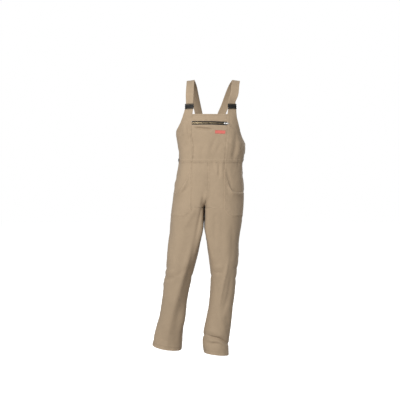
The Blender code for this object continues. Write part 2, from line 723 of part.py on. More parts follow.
def build_slider():
    """Slider body with the arch that carries the pull tab."""
    frame = slider_frame()
    slider = add_object("zip_slider", box_mesh(
        "zip_slider", (0.0, 0.0, SLIDER_THICK / 2), (SLIDER_LENGTH, SLIDER_HEIGHT, SLIDER_THICK),
        SLIDER_BEVEL), "metal")
    slider.matrix_world = frame.matrix()
    hole = PIN + 2 * GAP
    top = SLIDER_THICK + hole + ARCH_TOP
    arch = box_mesh("arch", (0.0, 0.0, (top + SLIDER_THICK - ROOT) / 2),
                    (ARCH_LENGTH, ARCH_WIDTH, top - SLIDER_THICK + ROOT))
    boolean(slider, arch, "UNION", frame)
    eye = box_mesh("eye", (0.0, 0.0, SLIDER_THICK + hole / 2), (ARCH_LENGTH - 2 * ARCH_LEG, THROUGH, hole))
    boolean(slider, eye, "DIFFERENCE", frame)


def build_pull_tab():
    """Pull tab: a plate with a window, whose end bar is the pin through the slider's arch."""
    base = slider_frame()
    frame = Frame(base.origin + base.out * pivot_height(), base.along, base.up, base.out)
    half = TAB_WIDTH / 2
    turns = np.linspace(-math.pi / 2, math.pi / 2, 7)
    round_end = [(TAB_LENGTH + TAB_NOSE * (math.cos(t) - 1.0), half * math.sin(t)) for t in turns]
    outline = [(-PIN / 2, -half * TAB_PIN_SHARE), *round_end, (-PIN / 2, half * TAB_PIN_SHARE)]
    pull = add_object("zip_pull_tab", outline_mesh("zip_pull_tab", outline, -PIN / 2, PIN / 2), "metal")
    pull.matrix_world = frame.matrix()
    window_end = ARCH_LENGTH / 2 + 2 * GAP
    window = box_mesh("window", ((PIN / 2 + window_end) / 2, 0.0, 0.0),
                      (window_end - PIN / 2, ARCH_WIDTH + 2 * GAP, THROUGH))
    boolean(pull, window, "DIFFERENCE", frame)


# ---------------------------------------------------------------- trousers
def leg_rows(table):
    """Heights of the rows of a leg panel, from the waist to the hem; they crowd where the rise curves."""
    hips = np.linspace(WAIST_Z, CROTCH_Z + FORK, ROWS_HIPS + 1)[:-1]
    lean = np.linspace(math.pi / 2, 0.0, ROWS_FORK + 1)
    fork = CROTCH_Z + FORK * (1.0 - np.cos(lean))
    down = np.linspace(0.0, 1.0, ROWS_LEG + 1)[1:] ** ROWS_CROWD
    return np.concatenate([hips, fork, CROTCH_Z + down * (table[-1].z - CROTCH_Z)])


def leg_columns():
    """Shares of the upright lines of a leg panel, evenly spread round the leg."""
    tried = np.linspace(0.0, 1.0, 401)
    return np.interp(np.linspace(0.0, 1.0, LEG_COLUMNS + 1), leg_turn(tried), tried)


def trouser_form(side):
    """Trouser form of one side, as a function of share and height."""
    def form(share, z):
        return trouser_point(side, share, z)

    return form


def build_legs():
    """Front and back panel of each trouser leg, one piece each from the waist seam to the hem."""
    for label, side, table in (("right", -1, LEG_RIGHT), ("left", 1, LEG_LEFT)):
        for face, sign in (("front", 1), ("back", -1)):
            share, z = grid(sign * leg_columns(), leg_rows(table))
            form_wall(face + "_leg_" + label, trouser_form(side), share, z, hand=-side, rows=(True, False))


def share_at_x(side, x, z):
    """Share of the way from the side seam at which a trouser front reaches this x, for each height."""
    tried = np.linspace(0.0, 0.95, 191)
    reached = [np.interp(-side * x, -side * trouser_point(side, tried, np.full_like(tried, level))[:, 0], tried)
               for level in z.ravel()]
    return np.array(reached).reshape(z.shape)


def build_pockets():
    """Patch pockets laid on the trouser fronts, open along a curved slant from the waist to the side seam.

    A pocket keeps the upright lines of its panel, with one more between each two, so that its faces lie along
    the panel's own.  Its last line is the inner edge, which runs straight down.
    """
    for label, side, table, mouth, lift in (("right", -1, LEG_RIGHT, POCKET_MOUTH_RIGHT, POCKET_LIFT_RIGHT),
                                            ("left", 1, LEG_LEFT, POCKET_MOUTH_LEFT, POCKET_LIFT_LEFT)):
        columns, rows = leg_columns(), leg_rows(table)
        front = trouser_point(side, *grid(columns, rows))
        inner_x = FRONT_SEAM_X + side * POCKET_INNER
        reach = float(share_at_x(side, inner_x, np.array(CROTCH_Z + FORK)))
        lines = np.sort(np.concatenate([columns[1:], (columns[2:] + columns[1:-1]) / 2]))
        lines = np.concatenate([[POCKET_START], lines[lines < reach - POCKET_START], [reach]])
        low, high = (smooth(lines / reach, *zip(*edge)) for edge in (POCKET_BOTTOM, mouth))
        _, up = grid(lines, np.linspace(0.0, 1.0, POCKET_ROWS + 1))
        z = low * (1.0 - up) + high * up
        share = np.broadcast_to(lines, z.shape).copy()
        share[:, -1] = np.maximum(share_at_x(side, inner_x, z[:, -1]), lines[-2] + POCKET_START / 2)
        points = between(front, columns, -rows, share, -z)
        normals = face_normals(trouser_form(side), share, z, hand=-side)
        wall("pocket_" + label, points, normals, "cloth", lift=lift)


def build_buttons():
    """Button at the side opening of the waist, one on each side."""
    for label, side in (("right", -1), ("left", 1)):
        at, z = np.array(side * (math.pi / 2 - BUTTON_FORE)), np.array(WAIST_Z + BUTTON_UP)
        out = Vector(face_normals(torso_point, at, z))
        frame = frame_at(torso_point(at, z), (0.0, 1.0, 0.0), out)
        work = bmesh.new()
        bmesh.ops.create_cone(work, cap_ends=True, segments=20, radius1=BUTTON_RADIUS,
                              radius2=BUTTON_RADIUS * BUTTON_TAPER, depth=BUTTON_THICK)
        bmesh.ops.translate(work, vec=(0.0, 0.0, BUTTON_THICK / 2 + GAP), verts=work.verts)
        mesh = bpy.data.meshes.new("side_button_" + label)
        work.to_mesh(mesh)
        work.free()
        button = add_object("side_button_" + label, mesh, "buckle")
        button.matrix_world = frame.matrix()


def main():
    """Clear the scene and build the overalls."""
    for old in list(bpy.data.objects):
        bpy.data.objects.remove(old, do_unlink=True)
    build_bib()
    build_label()
    build_side_panels()
    build_upper_back()
    for label, side in (("right", -1), ("left", 1)):
        build_buckle(side, label)
        build_strap(side, label)
    build_slider()
    build_pull_tab()
    build_legs()
    build_pockets()
    build_buttons()


main()
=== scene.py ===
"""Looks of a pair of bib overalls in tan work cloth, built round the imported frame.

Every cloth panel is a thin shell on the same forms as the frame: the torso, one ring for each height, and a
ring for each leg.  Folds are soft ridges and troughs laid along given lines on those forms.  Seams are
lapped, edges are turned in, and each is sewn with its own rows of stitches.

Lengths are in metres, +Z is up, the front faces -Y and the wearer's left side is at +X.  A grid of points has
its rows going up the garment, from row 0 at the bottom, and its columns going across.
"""

from __future__ import annotations

import logging
import math
import sys
from dataclasses import dataclass, field
from enum import Enum
from typing import Any, Callable, NamedTuple, Sequence

import bpy
import numpy as np
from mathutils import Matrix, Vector
from numpy.typing import NDArray

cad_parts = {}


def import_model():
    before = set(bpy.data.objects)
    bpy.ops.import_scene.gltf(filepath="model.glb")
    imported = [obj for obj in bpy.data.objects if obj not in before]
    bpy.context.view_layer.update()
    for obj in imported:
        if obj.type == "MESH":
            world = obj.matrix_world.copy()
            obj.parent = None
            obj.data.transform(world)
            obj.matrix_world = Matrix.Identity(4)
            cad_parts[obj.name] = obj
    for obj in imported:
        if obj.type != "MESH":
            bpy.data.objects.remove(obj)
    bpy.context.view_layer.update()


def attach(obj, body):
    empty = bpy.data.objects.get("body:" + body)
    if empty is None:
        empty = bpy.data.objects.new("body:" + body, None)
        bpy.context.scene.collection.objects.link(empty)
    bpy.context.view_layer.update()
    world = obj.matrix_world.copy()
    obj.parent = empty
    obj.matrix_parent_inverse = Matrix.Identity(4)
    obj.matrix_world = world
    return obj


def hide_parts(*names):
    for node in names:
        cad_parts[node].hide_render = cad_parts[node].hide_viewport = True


Array = NDArray[np.float64]
Form = Callable[[Array, Array], Array]
Colour = tuple[float, float, float]
Pairs = tuple[tuple[float, float], ...]
Piece = bpy.types.Object
Material = bpy.types.Material
Socket = bpy.types.NodeSocket
Noise = tuple[float, float, float, float]
LOG = logging.getLogger("overalls")

# ---- sizes that the frame also has
WAIST_Z = -0.442
CROTCH_Z = -0.684
FORK = 0.07  # height over which the rise seam curves
HIP_RUN = 0.05  # how far below the crotch the hips run on into the legs
BIB_TOP_Z = -0.187
TAB_TOP_Z = -0.157  # top of the strap tabs
TAB_SHARE = 0.34  # share of a side panel that its strap tab takes
ZIP_Z = -0.2335
ZIP_SHOWN = 0.021  # height of zip seen between the cloth edges
ZIP_TAPE = 0.027
FRAME_CLOTH = 0.0015  # thickness of the frame's cloth walls
FRAME_GAP = 0.0003  # space between the frame's pieces
STRAP_WIDTH = 0.04
STRAP_THICK = 0.0022
BUCKLE_WIDTH = 0.05
SOCKET_HEIGHT = 0.013
INSERT_HEIGHT = 0.0105
RISE_SQUARE = 2.2  # squareness of the curve of the rise seam; 2 is an ellipse
WALL_TURN = 0.27  # how much of a leg's turn is kept for the wall that faces the other leg
WALL_SQUARE = 11  # how late on the way to that wall it comes in
LEG_SQUARE = 2.15  # squareness of a leg ring; 2 is an ellipse
CORNER_SQUARE = 4.0  # how much squarer its inner front corner is, near the crotch
CORNER_LOW = (-1.02, -0.8)  # heights between which that comes in
CORNER_HIGH = (-0.6, -0.5)  # heights between which it goes out
FRONT_SEAM_X = -0.0305  # x of the centre-front seam between the pockets
POCKET_INNER = 0.086  # distance of a pocket's inner edge from the centre-front seam
POCKET_FOLD = 0.515  # least share of the front at that edge
# edge of each pocket's mouth: share of the way from the side seam to the inner edge, and height
POCKET_MOUTHS = {
    -1: ((0.0, -0.604), (0.3, -0.602), (0.46, -0.597), (0.56, -0.588), (0.68, -0.565), (0.784, -0.535),
         (0.875, -0.487), (0.945, -0.455), (1.0, -0.4435)),
    1: ((0.0, -0.604), (0.35, -0.602), (0.6, -0.597), (0.737, -0.586), (0.81, -0.567), (0.879, -0.54),
        (0.93, -0.516), (0.974, -0.485), (1.0, -0.4435)),
}
SIDES = (("right", -1), ("left", 1))
# armhole edge of each side panel: share from the bib seam, and height
ARMHOLES = {
    -1: ((0.34, -0.157), (0.37, -0.183), (0.43, -0.214), (0.54, -0.245), (0.7, -0.266), (0.86, -0.28),
         (1.0, -0.29)),
    1: ((0.34, -0.157), (0.37, -0.183), (0.43, -0.218), (0.54, -0.256), (0.7, -0.294), (0.86, -0.322),
        (1.0, -0.337)),
}
LEFT_STACK = (-1.45, -1.335)  # heights between which the left trouser end lies in folds

# ---- sizes of the cloth and its sewing
CLOTH = 0.0011  # thickness of one layer of work cloth
LAP = 0.0009  # how far a lapped seam stands up
TUCK = 0.0005  # how far the cloth under a lap lies down
UNDERLAP = 0.008  # how far it runs on under the lap
TURNING = 0.0008  # extra thickness where an edge is turned in
STITCH_DENT = 0.00022  # how deep a row of stitches pulls the cloth in


# ---- curves
def smooth(at: Array | float, places: Sequence[float], values: Sequence[float]) -> Array:
    """Smooth curve through a table: cubic pieces with the slopes of the neighbouring rows.

    Args:
        at: Where to read the curve.
        places: Places of the table's rows, in any order.
        values: Value of each row.

    Returns:
        The curve's values, held level past the table's ends.
    """
    places = np.asarray(places, float)
    values = np.asarray(values, float)
    order = np.argsort(places)
    places, values = places[order], values[order]
    slopes = np.gradient(values, places)
    at = np.clip(np.asarray(at, float), places[0], places[-1])
    row = np.clip(np.searchsorted(places, at) - 1, 0, len(places) - 2)
    span = places[row + 1] - places[row]
    t = (at - places[row]) / span
    return ((2 * t**3 - 3 * t**2 + 1) * values[row] + (t**3 - 2 * t**2 + t) * span * slopes[row]
            + (3 * t**2 - 2 * t**3) * values[row + 1] + (t**3 - t**2) * span * slopes[row + 1])


def ease(low: float, high: float, at: Array | float) -> Array:
    """Smooth step from 0 at low to 1 at high: 3 t squared less 2 t cubed."""
    t = np.clip((np.asarray(at, float) - low) / (high - low), 0.0, 1.0)
    return t * t * (3.0 - 2.0 * t)


def bump(at: Array, width: float | Array) -> Array:
    """Soft hump of height 1: e to the minus square of at over width."""
    return np.exp(-((at / width) ** 2))


def unit(vectors: Array) -> Array:
    """The same directions with a length of 1."""
    return vectors / np.maximum(np.linalg.norm(vectors, axis=-1, keepdims=True), 1e-12)


def travel(points: Array, axis: int) -> Array:
    """Distance gone along an axis of a grid of points, from its first line.

    Args:
        points: The grid.
        axis: 0 to go up the garment, 1 to go across it.

    Returns:
        Distance at each point.
    """
    steps = np.linalg.norm(np.diff(points, axis=axis), axis=-1)
    start = np.zeros_like(np.take(steps, [0], axis=axis))
    return np.concatenate([start, np.cumsum(steps, axis=axis)], axis=axis)


def grid_normals(points: Array, hand: int) -> Array:
    """Outward normals of a grid: its direction across crossed with up, times its hand, 1 or -1."""
    return unit(hand * np.cross(np.gradient(points, axis=1), np.gradient(points, axis=0)))


def near_line(points: Array, line: Array) -> tuple[Array, Array]:
    """Nearest place on a line of straight pieces.

    Args:
        points: Points in any number of dimensions.
        line: The line's corners.

    Returns:
        Each point's distance from the line, and how far along the line's pieces it is nearest, from 0 to 1.
    """
    flat = points.reshape(-1, 1, points.shape[-1])
    start, run = line[:-1], np.diff(line, axis=0)
    size = np.maximum((run**2).sum(axis=-1), 1e-16)
    result = []
    for part in np.array_split(flat, len(flat) // 2048 + 1):
        along = np.clip(((part - start) * run).sum(axis=-1) / size, 0.0, 1.0)
        gap = np.linalg.norm(part - start - along[..., None] * run, axis=-1)
        nearest = gap.argmin(axis=1)[:, None]
        result.append(np.take_along_axis(np.stack([gap, (np.arange(len(run)) + along) / len(run)]),
                                         nearest[None], axis=2)[..., 0])
    gap, way = np.concatenate(result, axis=1).reshape(2, *points.shape[:-1])
    return gap, way


def distance_to(points: Array, line: Array) -> Array:
    """Shortest distance of each point from a line of straight pieces."""
    return near_line(points, line)[0]


# ---- forms
@dataclass(frozen=True)
class Sections:
    """A table of sections whose first column is the height, read smoothly in between."""

    names: tuple[str, ...]
    rows: tuple[tuple[float, ...], ...]

    def read(self, name: str, z: Array) -> Array:
        """One named column at these heights."""
        columns = list(zip(*self.rows))
        return smooth(z, columns[0], columns[self.names.index(name)])


def ring(across: Array, fore: Array, half: Array, front: Array, back: Array, square: Array | float) -> Array:
    """Point of a rounded-square ring in a direction.

    The reach is the sum of the direction's parts, each over its half size and to the power of the squareness,
    to the power of minus one over the squareness.

    Args:
        across: Direction's part across.
        fore: Direction's part to the front.
        half: Half width of the ring.
        front: Depth in front of its middle.
        back: Depth behind its middle.
        square: Squareness, 2 for an ellipse.

    Returns:
        Points as x and y from the ring's middle.
    """
    depth = np.where(fore > 0, front, back)
    reach = (np.abs(across / half) ** square + np.abs(fore / depth) ** square) ** (-1.0 / square)
    return np.stack([across * reach, -fore * reach], axis=-1)


@dataclass(frozen=True)
class Torso:
    """The hollow form of the upper body and the hips."""

    sections: Sections = Sections(("z", "middle", "half", "front", "back", "square"), (
        (-0.12, -0.0145, 0.163, 0.107, 0.118, 2.8),
        (-0.2, -0.019, 0.172, 0.117, 0.126, 2.7),
        (-0.29, -0.0225, 0.179, 0.125, 0.126, 2.6),
        (-0.345, -0.012, 0.181, 0.126, 0.118, 2.5),
        (-0.4, -0.011, 0.176, 0.124, 0.11, 2.4),
        (-0.442, -0.0155, 0.171, 0.121, 0.108, 2.4),
        (-0.5, -0.02, 0.177, 0.121, 0.118, 2.4),
        (-0.56, -0.024, 0.184, 0.121, 0.131, 2.4),
        (-0.62, -0.027, 0.188, 0.119, 0.138, 2.4),
        (-0.7, -0.032, 0.192, 0.114, 0.138, 2.4),
    ))
    bib_seams: Sections = Sections(("z", "right", "left"), (
        (-0.15, 0.0905, 0.094),
        (-0.187, 0.0945, 0.0905),
        (-0.27, 0.0945, 0.096),
        (-0.357, 0.099, 0.075),
        (-0.442, 0.101, 0.071),
    ))

    def point(self, angle: Array, z: Array) -> Array:
        """Point of the form: angle 0 is the centre front and a quarter turn the wearer's left side.

        Args:
            angle: Angles round the body.
            z: Heights.

        Returns:
            The points.
        """
        read = self.sections.read
        flat = ring(np.sin(angle), np.cos(angle), read("half", z), read("front", z), read("back", z),
                    read("square", z))
        flat[..., 0] += read("middle", z)
        return np.concatenate([flat, np.broadcast_to(z, flat.shape[:-1])[..., None]], axis=-1)

    def angle_at(self, offset: Array, z: Array) -> Array:
        """Angle at which the front lies at this distance from the middle, towards the wearer's left.

        Args:
            offset: Distances from the middle.
            z: Heights.

        Returns:
            Angle for each.
        """
        square = self.sections.read("square", z)
        share = np.abs(offset) / self.sections.read("half", z)
        fore = self.sections.read("front", z) * (1.0 - share**square) ** (1.0 / square)
        return np.arctan2(offset, fore)

    def bib(self, share: Array, z: Array) -> Array:
        """Middle of the bib: share -1 is the wearer's right bib seam and +1 the left one.

        Args:
            share: Shares across the bib.
            z: Heights.

        Returns:
            The points.
        """
        right = -self.angle_at(self.bib_seams.read("right", z), z)
        left = self.angle_at(self.bib_seams.read("left", z), z)
        return self.point(right + (share + 1.0) / 2.0 * (left - right), z)

    def side_panel(self, side: int) -> Form:
        """Form of a side panel: share 0 is the bib seam and 1 the side seam.

        Args:
            side: +1 for the wearer's left, -1 for the right.

        Returns:
            The form.
        """
        name = "left" if side > 0 else "right"

        def form(share: Array, z: Array) -> Array:
            """Point of the side panel."""
            inner = self.angle_at(self.bib_seams.read(name, z), z)
            return self.point(side * (inner + share * (math.pi / 2 - inner)), z)

        return form

    def upper_back(self, share: Array, z: Array) -> Array:
        """Upper back: share 0 is the right side seam and 1 the left one, going round behind."""
        return self.point(-math.pi / 2 - share * math.pi, z)


TORSO = Torso()
LEG_COLUMNS = ("z", "x", "y", "half", "front", "back", "slope_x", "slope_y")


@dataclass(frozen=True)
class Trousers:
    """The hollow form of the hips and the two legs."""

    front_seam: Sections = Sections(("z", "angle"), (
        (-0.442, math.radians(-6.5)),
        (-0.5, math.radians(-4.5)),
        (-0.56, math.radians(-3.2)),
        (-0.615, math.radians(-3.6)),
        (-0.655, math.radians(-6.2)),
        (-0.69, math.radians(-9.0)),
    ))
    right: Sections = Sections(LEG_COLUMNS, (
        (-0.54, -0.129, 0.0, 0.077, 0.118, 0.13, 0.0, 0.0),
        (-0.684, -0.138, 0.0, 0.087, 0.113, 0.128, 0.0, 0.0),
        (-0.74, -0.1406, 0.0, 0.0892, 0.108, 0.122, 0.01, 0.0),
        (-0.785, -0.1432, 0.0, 0.0905, 0.104, 0.116, 0.02, 0.0),
        (-0.87, -0.1572, -0.002, 0.086, 0.096, 0.102, 0.05, 0.01),
        (-0.98, -0.1758, -0.003, 0.0765, 0.087, 0.086, 0.08, 0.02),
        (-1.08, -0.1932, 0.002, 0.07, 0.08, 0.077, 0.1, 0.03),
        (-1.18, -0.2078, 0.012, 0.0675, 0.076, 0.077, 0.12, 0.05),
        (-1.28, -0.2232, 0.026, 0.0715, 0.074, 0.078, 0.14, 0.07),
        (-1.37, -0.2428, 0.04, 0.077, 0.075, 0.078, 0.15, 0.09),
        (-1.446, -0.254, 0.05, 0.081, 0.079, 0.079, 0.15, 0.1),
    ))
    left: Sections = Sections(LEG_COLUMNS, (
        (-0.54, 0.057, 0.0, 0.104, 0.118, 0.13, 0.0, 0.0),
        (-0.684, 0.0555, 0.0, 0.105, 0.113, 0.128, 0.0, 0.0),
        (-0.74, 0.0528, 0.0, 0.1026, 0.108, 0.122, 0.0, 0.0),
        (-0.785, 0.0498, 0.0, 0.1005, 0.104, 0.116, 0.0, 0.0),
        (-0.87, 0.051, -0.004, 0.0885, 0.096, 0.102, 0.0, 0.0),
        (-0.98, 0.053, -0.01, 0.0773, 0.087, 0.086, 0.02, 0.0),
        (-1.08, 0.052, -0.015, 0.0685, 0.079, 0.078, 0.04, 0.0),
        (-1.18, 0.044, -0.016, 0.066, 0.075, 0.078, 0.06, 0.0),
        (-1.28, 0.0308, -0.016, 0.068, 0.073, 0.078, 0.08, -0.02),
        (-1.37, 0.0165, -0.018, 0.07, 0.071, 0.078, 0.1, -0.04),
        (-1.405, 0.013, -0.019, 0.07, 0.069, 0.078, 0.1, -0.05),
        (-1.435, 0.0125, -0.02, 0.069, 0.078, 0.078, 0.1, -0.05),
        (-1.472, 0.0165, -0.02, 0.066, 0.08, 0.078, 0.1, -0.05),
    ))

    def leg(self, side: int) -> Sections:
        """Sections of the leg on one side."""
        return self.left if side > 0 else self.right

    def leg_point(self, side: int, turn: Array, z: Array) -> Array:
        """Leg ring: turn 0 is the outer side, +half a turn the inseam over the front, -half over the back.

        The front corner towards the other leg is squarer near the crotch: the squareness gains CORNER_SQUARE
        times minus the sine of twice the turn.  The height is lifted by the ring's two slopes times the
        distance from its middle.

        Args:
            side: +1 for the wearer's left, -1 for the right.
            turn: Angles round the leg.
            z: Heights.

        Returns:
            The points.
        """
        read = self.leg(side).read
        near = ease(*CORNER_LOW, z) * (1.0 - ease(*CORNER_HIGH, z))
        corner = np.where(turn > math.pi / 2, np.maximum(-np.sin(2.0 * turn), 0.0), 0.0)
        square = LEG_SQUARE + CORNER_SQUARE * corner * near
        flat = ring(np.cos(turn), np.sin(turn), read("half", z), read("front", z), read("back", z), square)
        x, y = flat[..., 0], flat[..., 1]
        lift = -read("slope_x", z) * side * x + read("slope_y", z) * y
        return np.stack([read("x", z) + side * x, read("y", z) + y, z + lift], axis=-1)

    def torso_part(self, share: Array, z: Array) -> Array:
        """How much of a point is torso, from 0 on the leg to 1 on the hips.

        Along the rise seam it is a quarter of a squared ellipse, and away from it a smooth step that runs on
        a little below the crotch.

        Args:
            share: Shares across the panel.
            z: Heights.

        Returns:
            The part for each.
        """
        rise = np.clip((z - CROTCH_Z) / FORK, 0.0, 1.0)
        seam = (1.0 - (1.0 - rise) ** RISE_SQUARE) ** (1.0 / RISE_SQUARE)
        hip = ease(CROTCH_Z - HIP_RUN, CROTCH_Z + FORK, z)
        near = np.clip(np.abs(share), 0.0, 1.0) ** 8
        return near * seam + (1.0 - near) * hip

    def form(self, side: int) -> Form:
        """Form of one side: share 0 is the side seam, +1 the centre front or inseam, -1 the back one.

        Args:
            side: +1 for the wearer's left, -1 for the right.

        Returns:
            The form.
        """

        def point(share: Array, z: Array) -> Array:
            """Point of the trousers at each share and height."""
            part = self.torso_part(share, z)[..., None]
            turn = share * math.pi * (1.0 - WALL_TURN + WALL_TURN * np.abs(share) ** WALL_SQUARE)
            leg = self.leg_point(side, turn, z)
            seam = np.where(share > 0, self.front_seam.read("angle", z), 0.0)
            torso = TORSO.point(side * (1.0 - share) * math.pi / 2 + share * seam, z)
            return (1.0 - part) * leg + part * torso

        return point


TROUSERS = Trousers()


# ---- folds
class Facing(Enum):
    """Which way a fold faces: the outward direction, and the axis that its line is drawn across."""

    FRONT = ((0.0, -1.0), 0)
    BACK = ((0.0, 1.0), 0)
    RIGHT = ((-1.0, 0.0), 1)
    LEFT = ((1.0, 0.0), 1)


@dataclass(frozen=True)
class Fold:
    """A soft ridge, or a trough if its rise is negative, along a smooth line of (across, z) points.

    Its height is the rise times e to the minus square of distance over width, faded at the line's ends and
    where the cloth turns away from the way it faces.
    """

    facing: Facing
    width: float
    rise: float
    path: Array

    def height(self, points: Array, normals: Array) -> Array:
        """How far the fold moves each point outward.

        Args:
            points: Places to work out.
            normals: Outward direction at each.

        Returns:
            Distance outward.
        """
        direction, axis = self.facing.value
        facing = normals[..., 0] * direction[0] + normals[..., 1] * direction[1]
        flat = np.stack([points[..., axis], points[..., 2]], axis=-1)
        places = np.linspace(0.0, 1.0, len(self.path))
        line = np.stack([smooth(np.linspace(0.0, 1.0, 33), places, part) for part in self.path.T], axis=-1)
        reach = 3.0 * self.width
        inside = (flat > line.min(axis=0) - reach) & (flat < line.max(axis=0) + reach)
        close = (facing > 0.0) & inside.all(axis=-1)
        result = np.zeros(points.shape[:-1])
        if not close.any():
            return result
        gap, way = near_line(flat[close], line)
        ends = ease(0.0, 0.3, way) * (1.0 - ease(0.7, 1.0, way))
        width = self.width * (0.6 + 0.4 * ends)
        result[close] = self.rise * bump(gap, width) * ends * ease(0.05, 0.55, facing[close])
        return result


def folds(facing: Facing, *rows: tuple[float, ...]) -> tuple[Fold, ...]:
    """Folds that face one way, each given in millimetres as its width, its rise and its line's points."""
    return tuple(Fold(facing, row[0], row[1], row[2:].reshape(-1, 2))
                 for row in (np.round(np.array(row) / 1000.0, 6) for row in rows))


@dataclass(frozen=True)
class Crumple:
    """Unevenness of worn cloth: a sum of waves with fixed random directions, about 1 high.

    A creased one turns the sum s into 1 less twice its size, which gives sharp ridges where s is 0.
    """

    seed: int
    shortest: float
    longest: float
    upright: float = 1.0
    creased: bool = False
    waves: int = 22

    def height(self, points: Array) -> Array:
        """Height of the waves at each point.

        Args:
            points: Places to work out.

        Returns:
            Distance outward.
        """
        random = np.random.default_rng(self.seed)
        heading = unit(random.normal(size=(self.waves, 3)))
        length = random.uniform(self.shortest, self.longest, (self.waves, 1))
        number = heading * (2.0 * math.pi / length) * np.array([1.0, 1.0, 1.0 / self.upright])
        phase = random.uniform(0.0, 2.0 * math.pi, self.waves)
        total = np.sin(points @ number.T + phase).sum(axis=-1) * math.sqrt(2.0 / self.waves)
        if self.creased:
            return 1.0 - 2.0 * np.sqrt(total**2 + 0.02)
        return total


@dataclass(frozen=True)
class Gathers:
    """Small upright folds that fan out from a level line all round the body.

    Each is a hump across the angle round the body, and fades with the distance above or below the line.
    """

    seed: int
    z: float
    middle: tuple[float, float]
    count: int
    rise: float
    reach: float

    def height(self, points: Array) -> Array:
        """How far the gathers move each point outward.

        Args:
            points: Places to work out.

        Returns:
            Distance outward.
        """
        random = np.random.default_rng(self.seed)
        place = random.uniform(-math.pi, math.pi, self.count)
        wide = random.uniform(0.035, 0.09, self.count)
        tall = random.uniform(0.25, 1.0, self.count) * random.choice((-1.0, 1.0), self.count)
        reach = random.uniform(0.4, 1.0, self.count) * self.reach
        lean = random.normal(0.0, 1.2, self.count)
        above = (points[..., 2] - self.z)[..., None]
        angle = np.arctan2(points[..., 0] - self.middle[0], self.middle[1] - points[..., 1])[..., None]
        off = (angle - place - lean * above + math.pi) % (2.0 * math.pi) - math.pi
        return self.rise * (tall * bump(off, wide) * bump(above, reach)).sum(axis=-1)
# ---- the folds of each part
BODY_FOLDS = (
    *folds(
        Facing.FRONT,
        (10, -6, -139, -213, -134, -260, -129, -308, -125, -365),
        (13, 3.6, -155, -203, -153, -255, -149, -313), (14, -2.4, -165, -363, -138, -352, -115, -363),
        (9, -2.4, -196, -292, -178, -279, -157, -266), (5.5, -8.5, -112, -258.5, -57, -264.5, 6, -271.5),
        (6, 2.6, -108, -248, -57, -253.5, 0, -260), (9, -1.3, 11, -308, -4, -342, -20, -387),
        (8, -1.1, 43, -329, 27, -363, 12, -397), (9, 0.9, 27, -305, 11, -360, -4, -402),
        (9, -1.4, -59, -355, -61, -392, -62, -429), (12, 1.2, -28, -318, -33, -371, -33, -423),
        (8, 1.8, 79, -302, 74, -360, 69, -423), (11, -4, 118, -256, 117, -339, 110, -387, 98, -459),
        (12, 2.2, 93, -302, 88, -365, 82, -429), (12, 2.6, 140, -318, 137, -365, 125, -423),
        (8, -1.6, 85, -239, 104, -258, 127, -268), (7, -2.8, 27, -437, 29, -481, 26, -535),
        (8, 1.5, 15, -437, 16, -512), (9, 1.8, 41, -440, 42, -540), (6, -2, 54, -432, 56, -496),
        (10, -3.4, 64, -455, 80, -523, 98, -591), (12, 1.2, -52, -445, -52, -518, -54, -597),
        (14, -1.2, -83, -450, -88, -523, -94, -597), (10, -2.2, -172, -612, -141, -576, -110, -552),
        (4.5, -1.4, -54.5, -590, -54, -650, -50.5, -700),
    ),
    *folds(
        Facing.RIGHT,
        (11, -2.6, -50, -330, -5, -372, 30, -412), (12, -2.4, 60, -330, 30, -380, 10, -432),
        (13, -2.6, -60, -470, -10, -520, 60, -545), (15, -2.6, -20, -560, 35, -610, 90, -640),
    ),
    *folds(
        Facing.LEFT,
        (10, -2.8, -60, -372, -10, -400, 30, -430), (12, -2.2, 70, -350, 35, -390, 20, -436),
        (12, -2.8, -50, -480, 0, -512, 70, -530), (15, -2.4, -40, -580, 20, -625, 80, -668),
    ),
    *folds(
        Facing.BACK,
        (13, -3.4, -82, -215, -88, -280, -82, -345, -70, -420),
        (14, -3.2, 48, -215, 58, -285, 54, -350, 40, -428), (16, 2.2, -30, -230, -22, -300, -28, -380),
        (12, -2.6, -130, -300, -90, -345, -30, -372), (12, -2.8, 115, -330, 70, -372, 10, -398),
        (10, -2, -120, -405, -30, -418, 60, -408), (11, -2.6, -105, -440, -98, -490, -108, -545),
        (9, -2.2, -45, -440, -50, -485, -46, -530), (10, -2.6, 30, -440, 26, -492, 32, -540),
        (12, -2.4, 88, -440, 80, -500, 84, -550), (14, -4.6, -32, -672, -80, -690, -135, -730, -180, -790),
        (17, 3, -40, -640, -95, -655, -150, -690), (14, -4.4, -30, -672, 20, -695, 70, -740, 105, -800),
        (17, 2.8, -20, -638, 35, -655, 90, -695), (12, -2.6, -32, -560, -34, -610, -31, -650),
    ),
)
